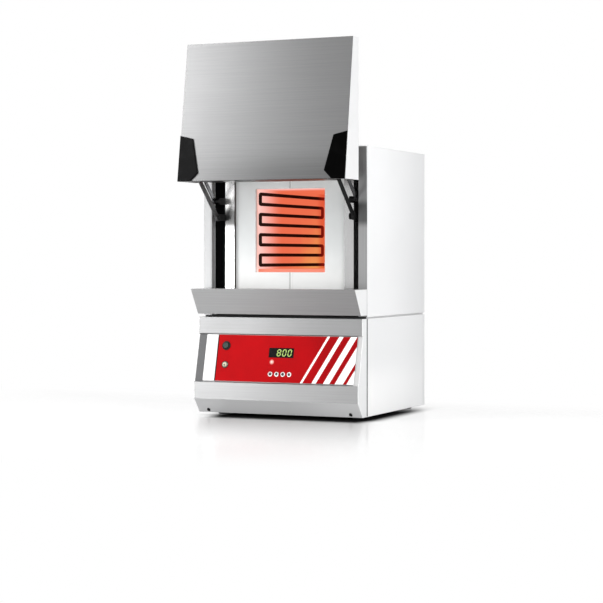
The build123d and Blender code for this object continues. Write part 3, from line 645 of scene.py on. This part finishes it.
collarLook = {
    "low": tone(0.945, 0.947, 0.943),      # pale at its foot
    "high": tone(0.815, 0.825, 0.825),     # painted shade above, under the door
    "shadeReach": (0.30, 0.44),
    "cloudy": 0.05,
    "cloud": (12, 4),
    "cloudBand": (0.35, 0.75),
    # painted shade towards its right
    "rightDim": 0.05,
    "rightReach": (-0.10, 0.12),
    "seam": tone(0.45, 0.45, 0.44),
    "seamShare": 0.55,
    "seamWidth": 0.0012,
    "second": 0.0075,                      # a fainter line beside the seam
    "secondShare": 0.16,
    "secondWidth": 0.0006,
    "glow": tone(0.98, 0.62, 0.50),
    "glowFrom": 0.004,                     # behind the collar's face
    "glowSkin": 0.0004,
    "strength": 0.55,
    "fibre": (420, 4, 0.7),
    "roughness": (0.88, 0.05),
    "bump": (0.22, 0.0005, 0.001),
}


def collarBoard():
    # vacuum-formed fibre, with the joint down its middle, painted shade on its upper part and towards its
    # right, and a soft glow on the mouth's edges
    board = Finish("collarFibreBoard")
    place = board.place()
    x, y, z = board.split(place)
    cloud = board.noise(place, *collarLook["cloud"]).fade(*collarLook["cloudBand"])
    fibre = board.noise(place, *collarLook["fibre"])
    colour = board.mixed(z.fade(*collarLook["shadeReach"]), collarLook["low"], collarLook["high"])
    rightDim = collarLook["rightDim"] * x.fade(*collarLook["rightReach"])
    colour = board.dimmed(collarLook["cloudy"] * cloud + rightDim, colour)
    seam = collarLook["seamShare"] * (abs(x) < collarLook["seamWidth"])
    second = abs(x - collarLook["second"]) < collarLook["secondWidth"]
    seam = seam.larger(collarLook["secondShare"] * second)
    skin = collarLook["glowSkin"]
    depth = y.fade(mouthY + collarLook["glowFrom"], chamberY)
    throat = (abs(x) < chamberHalf + skin) * (z > chamberFloor - skin) * (z < chamberRoof + skin)
    return board.surface({
        "Base Color": board.mixed(seam, colour, collarLook["seam"]),
        "Roughness": fibre.spread(*collarLook["roughness"]),
        "Emission Color": board.mixed(throat * depth, black, collarLook["glow"]),
        "Emission Strength": collarLook["strength"],
        "Normal": board.bump(fibre, *collarLook["bump"]),
    })


coldLook = {
    "colour": tone(0.95, 0.94, 0.92),
    "cloudy": tone(0.88, 0.87, 0.84),
    "bump": (0.3, 0.0005, 0.001),
}


def coldBoard():
    # the same fibre, away from the heat
    board = Finish("coldFibreBoard")
    place = board.place()
    cloud = board.noise(place, *collarLook["cloud"])
    fibre = board.noise(place, *collarLook["fibre"])
    return board.surface({
        "Base Color": board.mixed(cloud, coldLook["colour"], coldLook["cloudy"]),
        "Roughness": fibre.spread(*collarLook["roughness"]),
        "Normal": board.bump(fibre, *coldLook["bump"]),
    })


scaleLook = {
    "dark": (0.008, 0.004, 0.003, 1),
    "light": (0.025, 0.012, 0.009, 1),
    "scale": (260, 4, 0.7),
    "roughness": (0.75, 0.2),
    "shine": 0.05,
    "cool": (0.002, 0.0003, 0.0002, 1),
    "hot": tone(0.52, 0.06, 0.03),
    "hotFrom": 0.055,         # in front of the chamber's back
    "hotTo": 0.006,
    "strength": 0.8,
    "bump": (0.4, 0.0005),
}


def rodMetal():
    # oxidised resistance wire: nearly black, dull red where the back bends are hottest
    rod = Finish("oxidisedRod")
    place = rod.place()
    y = rod.split(place)[depthY]
    scale = rod.noise(place, *scaleLook["scale"])
    back = y.fade(-scaleLook["hotFrom"], -scaleLook["hotTo"], chamberBackY)
    return rod.surface({
        "Base Color": rod.mixed(scale, scaleLook["dark"], scaleLook["light"]),
        "Roughness": scale.spread(*scaleLook["roughness"]),
        "Specular IOR Level": scaleLook["shine"],
        "Emission Color": rod.mixed(back, scaleLook["cool"], scaleLook["hot"]),
        "Emission Strength": scaleLook["strength"],
        "Normal": rod.bump(scale, *scaleLook["bump"]),
    })


hearthLook = {
    "dark": tone(0.40, 0.30, 0.26),
    "light": tone(0.55, 0.40, 0.33),
    "grain": (500, 3),
    "roughness": (0.7, 0.2),
    "front": tone(0.90, 0.44, 0.36),       # its glow next to the mouth
    "inside": tone(0.93, 0.47, 0.30),
    "insideReach": (-0.01, 0.06),          # from the collar's back
    "strength": 0.85,
    "bump": (0.3, 0.0004),
}


def hearthPlate():
    # silicon carbide tile, glowing through
    tile = Finish("glowingHearth")
    place = tile.place()
    y = tile.split(place)[depthY]
    grain = tile.noise(place, *hearthLook["grain"])
    inside = y.fade(*hearthLook["insideReach"], chamberY)
    return tile.surface({
        "Base Color": tile.mixed(grain, hearthLook["dark"], hearthLook["light"]),
        "Roughness": grain.spread(*hearthLook["roughness"]),
        "Emission Color": tile.mixed(inside, hearthLook["front"], hearthLook["inside"]),
        "Emission Strength": hearthLook["strength"],
        "Normal": tile.bump(grain, *hearthLook["bump"]),
    })


# Control panel: red, with white rims round the keys and slanted bars at its right end
keyCount = 4
panelLook = {
    "red": tone(0.68, 0.015, 0.045),
    "deepRed": tone(0.62, 0.015, 0.04),
    "cloud": (10, 2),
    "cloudBand": (0.3, 0.75),
    "dimRed": tone(0.58, 0.012, 0.035),    # towards its right end
    "dimReach": (0.05, 0.14),
    "white": tone(0.95, 0.95, 0.95),
    "barStart": 0.066,       # first bar's left edge at the panel's foot
    "barPitch": 0.030,
    "barWidths": (0.006, 0.011, 0.016, 0.021, 0.026),
    "barSlant": 0.55,        # sideways run for each unit of height
    "rimRadius": 0.0060,
    "edgeWidth": 0.0022,     # painted shadow: black line beside the label
    "edge": (0.008, 0.006, 0.006, 1),
    "halo": tone(0.98, 0.80, 0.76),        # glow of the status lamp on the film
    "haloShare": 0.6,
    "haloReach": (0.00276, 0.0069),
    "film": (700, 2),
    "roughness": (0.42, 0.06),
    "shine": 0.05,
    "bump": (0.04, 0.0002, 0.0005),
}


def largest(masks):
    most = masks[0]
    for mask in masks[1:]:
        most = most.larger(mask)
    return most


def panelFinish():
    panel = Finish("redPanelFilm")
    place = panel.place()
    x, y, z = panel.split(place)
    slide = x - panelLook["barSlant"] * (z - low("control_panel", heightZ))
    bars = []
    for k, width in enumerate(panelLook["barWidths"]):
        start = panelLook["barStart"] + k * panelLook["barPitch"]
        bars.append((slide > start) * (slide < start + width))
    rims = []
    for k in range(keyCount):
        key = middle(f"button_{k + 1}")
        rims.append(reach(x - key.x, y - key.y, z - key.z) < panelLook["rimRadius"])
    lamp = middle("status_lamp")
    halo = 1 - reach(x - lamp.x, z - lamp.z).fade(*panelLook["haloReach"])
    edge = x < low("control_panel", sideX) + panelLook["edgeWidth"]
    cloud = panel.noise(place, *panelLook["cloud"]).fade(*panelLook["cloudBand"])
    red = panel.mixed(cloud, panelLook["red"], panelLook["deepRed"])
    red = panel.mixed(x.fade(*panelLook["dimReach"]), red, panelLook["dimRed"])
    red = panel.mixed(halo * panelLook["haloShare"], red, panelLook["halo"])
    red = panel.mixed(edge, red, panelLook["edge"])
    film = panel.noise(place, *panelLook["film"])
    return panel.surface({
        "Base Color": panel.mixed(largest(bars + rims), red, panelLook["white"]),
        "Roughness": film.spread(*panelLook["roughness"]),
        "Specular IOR Level": panelLook["shine"],
        "Normal": panel.bump(film, *panelLook["bump"]),
    })


keyLook = {
    "cap": tone(0.94, 0.94, 0.93),
    "mark": (0.01, 0.01, 0.01, 1),
    "marks": (0.003696, 0.0033, 0.003696, 0.0033),   # each key's mark, its radius
    "shifts": (0, 0.0003, 0, -0.0002),
    "rise": 0.0009,          # each mark's middle above its key's
    "speck": (900, 2),
    "roughness": (0.35, 0.1),
    "bump": (0.05, 0.0002, 0.0004),
}


def keyFinish(number):
    # white cap with a dark mark
    key = Finish(f"keyCap{number + 1}")
    place = key.place()
    x, _, z = key.split(place)
    centre = middle(f"button_{number + 1}")
    shift = keyLook["shifts"][number]
    away = reach(x - centre.x - shift, z - centre.z - keyLook["rise"] - shift)
    speck = key.noise(place, *keyLook["speck"])
    return key.surface({
        "Base Color": key.mixed(away < keyLook["marks"][number], keyLook["cap"], keyLook["mark"]),
        "Roughness": speck.spread(*keyLook["roughness"]),
        "Normal": key.bump(speck, *keyLook["bump"]),
    })


facetLook = {
    "facet": (600, 2),
    "band": (0.3, 0.7),
    "roughness": (0.2, 0.1),
}


def lampGlow(name, colour, core, strength, body=1.0):
    # lit plastic, in two tones; body is how light it is unlit
    lamp = Finish(name)
    facet = lamp.noise(lamp.place(), *facetLook["facet"])
    return lamp.surface({
        "Base Color": lamp.mixed(facet, scaled(colour, body), scaled(core, body)),
        "Roughness": facet.spread(*facetLook["roughness"]),
        "Emission Color": lamp.mixed(facet.fade(*facetLook["band"]), core, colour),
        "Emission Strength": strength,
    })


lensLook = {
    "colour": tone(0.72, 0.70, 0.60),
    "rim": tone(0.82, 0.80, 0.70),
    "dot": tone(0.26, 0.26, 0.19),         # the neon bulb behind the lens
    "dotReach": (0.0016, 0.0032),
    "roughness": (0.25, 0.1),
    "bump": (0.05, 0.0002, 0.0004),
}


def lensFinish():
    lens = Finish("indicatorLens")
    place = lens.place()
    x, _, z = lens.split(place)
    centre = middle("indicator_lens")
    dot = 1 - reach(x - centre.x, z - centre.z).fade(*lensLook["dotReach"])
    facet = lens.noise(place, *facetLook["facet"])
    colour = lens.mixed(facet.fade(*facetLook["band"]), lensLook["colour"], lensLook["rim"])
    return lens.surface({
        "Base Color": lens.mixed(dot, colour, lensLook["dot"]),
        "Roughness": facet.spread(*lensLook["roughness"]),
        "Normal": lens.bump(facet, *lensLook["bump"]),
    })


turnedLook = {
    "darker": 0.8,
    "turned": (350, 3),
    "roughness": (0.18, 0.14),
    "bump": (0.05, 0.0002, 0.0003),
}


def brightMetal(name, colour):
    metal = Finish(name)
    turned = metal.noise(metal.place(), *turnedLook["turned"])
    return metal.surface({
        "Base Color": metal.mixed(turned, colour, scaled(colour, turnedLook["darker"])),
        "Metallic": 1.0,
        "Roughness": turned.spread(*turnedLook["roughness"]),
        "Normal": metal.bump(turned, *turnedLook["bump"]),
    })


rubberLook = {
    "clean": (0.012, 0.012, 0.012, 1),
    "dusty": (0.04, 0.04, 0.04, 1),
    "dust": (120, 3),
    "roughness": (0.8, 0.15),
    "bump": (0.3, 0.0004),
}


def rubberFoot():
    rubber = Finish("feetRubber")
    dust = rubber.noise(rubber.place(), *rubberLook["dust"])
    return rubber.surface({
        "Base Color": rubber.mixed(dust, rubberLook["clean"], rubberLook["dusty"]),
        "Roughness": dust.spread(*rubberLook["roughness"]),
        "Normal": rubber.bump(dust, *rubberLook["bump"]),
    })


white = whitePaint("whitePowderCoat", dim=0.0)
# painted shade: the cheeks take a dimmed copy of the white powder coat
cheekShadedWhite = whitePaint("cheekShadedPowderCoat", dim=whiteLook["cheekShade"])
casing = casingPaint()
baseSide = baseSidePaint()
liftBlack = blackPaint("liftGearBlack", level=0.010, roughness=0.6)
# painted light: the left lift arm takes a lighter copy of the lift gear's black
leftArmLit = blackPaint("leftArmLitBlack", level=0.042, roughness=0.4, shine=0.25)
# painted light and shade: the left grip is a lighter copy of the black, the right grip a darker one
leftGripLit = blackPaint("leftGripLitBlack", level=0.0045, roughness=0.5, grain=900, shine=0.05)
rightGripShaded = blackPaint("rightGripShadedBlack", level=0.0009, roughness=0.6, grain=900, shine=0.01)
switchBlack = blackPaint("switchBlack", level=0.015, roughness=0.35, grain=1200)
linkSteel = brightMetal("linkSteel", tone(0.35, 0.35, 0.36))
rockerGreen = lampGlow("rockerGreen", colour=tone(0.03, 0.10, 0.08), core=tone(0.07, 0.17, 0.14),
                       strength=0.05)
lampPink = lampGlow("statusLamp", colour=tone(0.93, 0.72, 0.66), core=tone(0.98, 0.86, 0.82),
                    strength=0.4, body=0.7)
hotBoard = glowingBoard()
collar = collarBoard()
oxidised = rodMetal()

finishOf = {
    "feet": rubberFoot(),
    "base_floor": white,
    "base_rear_panel": white,
    "base_side_left": baseSide,
    "base_side_right": baseSide,
    "cable_gland": blackPaint("glandBlack", level=0.02, roughness=0.5),
    "fuse_holders": switchBlack,
    "fascia": fasciaSteel(),
    "fascia_cheeks": cheekShadedWhite,
    "fascia_screws": blackPaint("screwBlack", level=0.01, roughness=0.3),
    "control_panel": panelFinish(),
    "label_strip": plainPlastic("labelWhite", tone(0.93, 0.93, 0.93), roughness=0.3),
    "controller": switchBlack,
    "display_window": blackPaint("displayGlass", level=0.004, roughness=0.22, grain=300),
    "status_lamp": lampPink,
    "power_switch_body": switchBlack,
    "power_switch_rocker": rockerGreen,
    "indicator_bezel": brightMetal("bezelChrome", tone(0.40, 0.37, 0.34)),
    "indicator_lens": lensFinish(),
    "seam_tray": seamFinish(),
    "side_panel_left": casing,
    "side_panel_right": casing,
    "rear_panel": white,
    "rear_cover": white,
    "top_panel": white,
    "vent_tube": plainPlastic("ventCeramic", tone(0.86, 0.85, 0.82), roughness=0.55),
    "channel_backs": channelBlack(),
    "front_lip": satinSteel("lipSteel", steelLook["lip"], lipPaintedShade),
    "lip_cheeks": cheekShadedWhite,
    "inner_case": mirrorSteel(),
    "collar_left": collar,
    "collar_right": collar,
    "side_board_left": hotBoard,
    "side_board_right": hotBoard,
    "floor_board": hotBoard,
    "roof_board": hotBoard,
    "rear_board": hotBoard,
    "hearth_tile": hearthPlate(),
    "element_left": oxidised,
    "element_right": oxidised,
    "element_terminals": plainPlastic("terminalCeramic", tone(0.90, 0.88, 0.83), roughness=0.35),
    "thermocouple": plainPlastic("sheathCeramic", tone(0.88, 0.84, 0.76), roughness=0.5),
    "door_front": satinSteel("doorSteel", steelLook["door"], doorPaintedShade),
    "door_pan": satinSteel("panSteel", steelLook["pan"], panPaintedShade),
    "door_cheeks": cheekShadedWhite,
    "door_plug": coldBoard(),
    "door_handle_left": leftGripLit,
    "door_handle_right": rightGripShaded,
    "door_brackets": liftBlack,
    "pivot_brackets": liftBlack,
    "lift_arm_left": leftArmLit,
    "lift_arm_right": liftBlack,
    "guide_link_left": linkSteel,
    "guide_link_right": linkSteel,
}
for number in range(keyCount):
    finishOf[f"button_{number + 1}"] = keyFinish(number)

for name, thing in nodes.items():
    for slot in thing.material_slots:
        slot.material = finishOf[name]
print("finishes on", len(nodes), "nodes")


# Pieces made here

def keepPiece(name, mesh, finish, body):
    piece = bpy.data.objects.new(name, mesh)
    scene.collection.objects.link(piece)
    mesh.materials.append(finish)
    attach(piece, body)
    return piece


# Digits behind the display glass: bars of seven-bar figures, lit green
digitLook = {
    "text": "800",
    "height": 0.0150,
    "width": 0.0080,
    "gap": 0.0062,
    "bar": 0.0021,
    "slant": 0.12,
    "proud": 0.0003,
    "right": 0.0262,         # last figure's right edge, from the display's middle
    "colour": tone(0.74, 0.92, 0.38),
    "core": tone(0.86, 0.96, 0.58),
    "strength": 0.95,
    "body": 0.02,
}
barsOf = {"8": "abcdefg", "0": "abcdef"}


def panelAxes():
    # the slope's own upward and outward directions
    rise = high("control_panel", heightZ) - low("control_panel", heightZ)
    lean = high("control_panel", depthY) - low("control_panel", depthY)
    up = Vector((0, lean, rise)).normalized()
    return up, Vector((0, -up.z, up.y))


def barBoxes():
    # middle and size of each bar of a figure
    w, h, b = digitLook["width"], digitLook["height"], digitLook["bar"]
    upright = h / 2 - b
    return {
        "a": (0, h / 2, w - b, b),
        "b": (w / 2, h / 4, b, upright),
        "c": (w / 2, -h / 4, b, upright),
        "d": (0, -h / 2, w - b, b),
        "e": (-w / 2, -h / 4, b, upright),
        "f": (-w / 2, h / 4, b, upright),
        "g": (0, 0, w - b, b),
    }


def digitMesh():
    up, out = panelAxes()
    centre = middle("display_window")
    window = nodes["display_window"].data
    face = max((v.co - centre).dot(out) for v in window.vertices)
    boxes = barBoxes()
    pitch = digitLook["width"] + digitLook["gap"]
    start = digitLook["right"] - (len(digitLook["text"]) - 1) * pitch - digitLook["width"] / 2
    shape = bmesh.new()
    for k, figure in enumerate(digitLook["text"]):
        for bar in barsOf[figure]:
            acrossMiddle, upMiddle, width, height = boxes[bar]
            back = []
            for sideways, upwards in ((-1, -1), (1, -1), (1, 1), (-1, 1)):
                cornerUp = upMiddle + upwards * height / 2
                across = acrossMiddle + sideways * width / 2 + start + k * pitch
                across += digitLook["slant"] * cornerUp
                back.append(shape.verts.new(centre + Vector((across, 0, 0)) + up * cornerUp + out * face))
            front = [shape.verts.new(v.co + out * digitLook["proud"]) for v in back]
            shape.faces.new(front)
            shape.faces.new(list(reversed(back)))
            for i in range(4):
                j = (i + 1) % 4
                shape.faces.new((back[i], back[j], front[j], front[i]))
    bmesh.ops.recalc_face_normals(shape, faces=shape.faces)
    mesh = bpy.data.meshes.new("displayDigits")
    shape.to_mesh(mesh)
    shape.free()
    return mesh


digitGreen = lampGlow("digitGreen", digitLook["colour"], digitLook["core"],
                      strength=digitLook["strength"], body=digitLook["body"])
keepPiece("displayDigits", digitMesh(), digitGreen, "root")
print("display digits made")


# Heating rods: one long bent rod on each side wall, with rounded hairpins
rodLook = {
    "runs": 8,
    "radius": 0.0043,
    "bend": 0.0045,
    "bendSteps": 5,
    "sides": 3,              # bevel resolution
    "rearHairpin": 0.008,    # in front of the chamber's back
}


def rodRoute(node):
    # corner points of the rod, lowest run first, from the rear and back to it
    radius = rodLook["radius"]
    runs = rodLook["runs"]
    x = middle(node).x
    front = low(node, depthY) + radius
    tail = high(node, depthY)
    rear = chamberBackY - rodLook["rearHairpin"]
    bottom = low(node, heightZ) + radius
    top = high(node, heightZ) - radius
    step = (top - bottom) / (runs - 1)
    corners = [Vector((x, tail, bottom))]
    for k in range(runs):
        z = bottom + k * step
        first, second = (rear, front) if k % 2 == 0 else (front, rear)
        if k > 0:
            corners.append(Vector((x, first, z)))
        if k < runs - 1:
            corners.append(Vector((x, second, z)))
    return corners + [Vector((x, tail, top))]


def roundedRoute(corners):
    # each corner becomes a short arc
    points = [corners[0]]
    for before, corner, after in zip(corners, corners[1:], corners[2:]):
        start = corner + (before - corner).normalized() * rodLook["bend"]
        end = corner + (after - corner).normalized() * rodLook["bend"]
        for k in range(rodLook["bendSteps"] + 1):
            t = k / rodLook["bendSteps"]
            points.append(start * (1 - t) ** 2 + corner * 2 * t * (1 - t) + end * t ** 2)
    return points + [corners[-1]]


def buildRod(side):
    node = f"element_{side}"
    curve = bpy.data.curves.new(f"heatingRod_{side}", "CURVE")
    curve.dimensions = "3D"
    curve.bevel_depth = rodLook["radius"]
    curve.bevel_resolution = rodLook["sides"]
    curve.use_fill_caps = True
    points = roundedRoute(rodRoute(node))
    line = curve.splines.new("POLY")
    line.points.add(len(points) - 1)
    for point, spot in zip(line.points, points):
        point.co = (*spot, 1)
    rod = keepPiece(f"heatingRod_{side}", curve, finishOf[node], "root")
    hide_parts(node)


for side in ("left", "right"):
    buildRod(side)
print("heating rods bent")


# Setting

floorLook = {
    "reach": 9.0,
    "colour": (0.93, 0.93, 0.93, 1),
    "shaded": (0.62, 0.62, 0.62, 1),
    "contactColour": (0.012, 0.012, 0.012, 1),
    "sheen": (3, 2),
    "roughness": (0.14, 0.05),
    "shine": 0.3,
    "liftColour": (1, 1, 1, 1),
    "lift": 0.35,                 # how far the seen floor is lifted to white near the furnace
    "fade": (0.62, 1.25),         # metres from the middle over which it turns wholly white
    "fadeBehind": (0.10, 0.45),
    "contact": (0.0, 0.055),      # dark patch under the base that ends this far outside it
    "contactRear": (0.04, 0.27),  # and fades away along the sides towards the rear
    "contactSeen": (0.25, 0.75),  # its weight for other rays, and more for the camera's
    "toe": 0.045,                 # the fascia's foot stands this far before the flanges
    "taper": 0.35,
    "litSide": 0.06,              # the lamps at the left eat this much of the patch
    "shadeRun": 0.66,             # soft shade before the front
    "shadeEdge": (0.17, 0.25),
    "shadeSlant": 0.455,
    "shadeShare": 0.9,            # how much of the lift it takes away
}


def floorFinish():
    # pale sheet: dark where the base shuts out the light, softly shaded before the front
    floor = Finish("studioFloor")
    direct, mirrored = floor.rays("Is Camera Ray", "Is Glossy Ray")
    place = floor.place()
    sheen = floor.noise(place, *floorLook["sheen"])
    x, y, _ = floor.split(place)
    away = reach(x, y).fade(*floorLook["fade"]).larger(y.fade(*floorLook["fadeBehind"]))
    before = (flangeY - y).larger(0)
    beyondX = abs(x) - high("side_panel_right", sideX) + floorLook["taper"] * before
    beyondX = beyondX + floorLook["litSide"] * (x < 0)
    beyond = beyondX.larger(before - floorLook["toe"]).larger(y - backY)
    close = (1 - beyond.fade(*floorLook["contact"])) * direct.spread(*floorLook["contactSeen"])
    close = close * (1 - y.fade(*floorLook["contactRear"]))
    across = abs(x - floorLook["shadeSlant"] * before)
    shade = (1 - before.fade(0.0, floorLook["shadeRun"])) * (1 - across.fade(*floorLook["shadeEdge"]))
    shade = shade * (before > 0) * direct
    glossy = floor.node("ShaderNodeBsdfPrincipled", {}, {
        "Base Color": floor.mixed(shade, floorLook["colour"], floorLook["shaded"]),
        "Roughness": sheen.spread(*floorLook["roughness"]),
        "Specular IOR Level": floorLook["shine"],
    })
    dull = floor.node("ShaderNodeBsdfDiffuse", {}, {"Color": floorLook["contactColour"]})
    sheet = floor.node("ShaderNodeMixShader", {}, {0: close, 1: glossy, 2: dull})
    lift = floor.node("ShaderNodeEmission", {}, {"Color": floorLook["liftColour"]})
    near = floorLook["lift"] * (1 - close) * (1 - floorLook["shadeShare"] * shade)
    amount = direct.larger(mirrored) * (near + (1 - near) * away)
    lifted = floor.node("ShaderNodeMixShader", {}, {0: amount, 1: sheet, 2: lift})
    floor.tree.links.new(lifted.socket, floor.end.inputs["Surface"])
    return floor.material


def buildFloor():
    mesh = bpy.data.meshes.new("studioFloor")
    far = floorLook["reach"]
    corners = [(-far, -far, 0), (far, -far, 0), (far, far, 0), (-far, far, 0)]
    mesh.from_pydata(corners, [], [(0, 1, 2, 3)])
    mesh.materials.append(floorFinish())
    floor = bpy.data.objects.new("studioFloor", mesh)
    scene.collection.objects.link(floor)


lampLook = {
    # name: place, aim, width, height, watts
    "leftHigh": ((-1.04, -1.28, 1.30), (0.0, -0.15, 1.1), 0.7, 0.8, 15),
    "leftLow": ((-1.02, -1.28, 0.24), (0.0, -0.15, 0.24), 0.7, 0.44, 7),
    "frontFill": ((0.9, -3.0, 0.7), (0.0, -0.2, 0.45), 1.4, 1.0, 15),
    "rightFill": ((2.3, -1.5, 1.2), (0.15, 0.0, 0.4), 1.6, 1.6, 32),
    "topSoft": ((0.2, -0.3, 2.8), (0.0, 0.0, 0.3), 2.4, 2.4, 26),
}


def buildLamps():
    for name, (spot, aim, width, height, watts) in lampLook.items():
        lamp = bpy.data.lights.new(name, "AREA")
        lamp.shape = "RECTANGLE"
        lamp.size = width
        lamp.size_y = height
        lamp.energy = watts
        holder = bpy.data.objects.new(name, lamp)
        holder.location = spot
        holder.rotation_euler = (Vector(aim) - Vector(spot)).to_track_quat("-Z", "Y").to_euler()
        scene.collection.objects.link(holder)


worldLook = {
    "colour": (1, 1, 1, 1),
    "light": 0.42,            # strength as a light on dull surfaces
    "seen": 1.0,              # and where it is seen, straight or mirrored
}


def buildWorld():
    world = bpy.data.worlds.new("studioWorld")
    world.use_nodes = True
    tree = world.node_tree
    tree.nodes.clear()
    path = tree.nodes.new("ShaderNodeLightPath")
    seen = path.outputs["Is Camera Ray"]
    for other in ("Is Glossy Ray", "Is Transmission Ray"):
        either = tree.nodes.new("ShaderNodeMath")
        either.operation = "MAXIMUM"
        tree.links.new(seen, either.inputs[0])
        tree.links.new(path.outputs[other], either.inputs[1])
        seen = either.outputs[0]
    mix = tree.nodes.new("ShaderNodeMixShader")
    tree.links.new(seen, mix.inputs[0])
    for k, strength in enumerate((worldLook["light"], worldLook["seen"])):
        backdrop = tree.nodes.new("ShaderNodeBackground")
        backdrop.inputs["Color"].default_value = worldLook["colour"]
        backdrop.inputs["Strength"].default_value = strength
        tree.links.new(backdrop.outputs[0], mix.inputs[k + 1])
    end = tree.nodes.new("ShaderNodeOutputWorld")
    tree.links.new(mix.outputs[0], end.inputs["Surface"])
    scene.world = world


cameraLook = {
    "imageSide": 603,         # pixels
    "focalPixels": 1778.3,
    "horizonRow": 258.65,     # the camera is level
    "turn": 23.91,            # degrees, seen from the furnace's right
    "fromFlange": (1.79113, -3.93430),
    "height": 0.38528,
    "sensor": 36.0,           # millimetres
    "farthest": 60,
}


def buildCamera():
    lens = bpy.data.cameras.new("studioCamera")
    lens.sensor_width = cameraLook["sensor"]
    lens.lens = cameraLook["focalPixels"] / cameraLook["imageSide"] * cameraLook["sensor"]
    lens.shift_y = (cameraLook["horizonRow"] - cameraLook["imageSide"] / 2) / cameraLook["imageSide"]
    lens.clip_end = cameraLook["farthest"]
    camera = bpy.data.objects.new("studioCamera", lens)
    x, y = cameraLook["fromFlange"]
    camera.location = (x, flangeY + y, cameraLook["height"])
    camera.rotation_euler = (math.pi / 2, 0, math.radians(cameraLook["turn"]))
    scene.collection.objects.link(camera)
    scene.camera = camera


buildFloor()
buildLamps()
buildWorld()
buildCamera()
scene.view_settings.view_transform = "Standard"
print("setting ready")
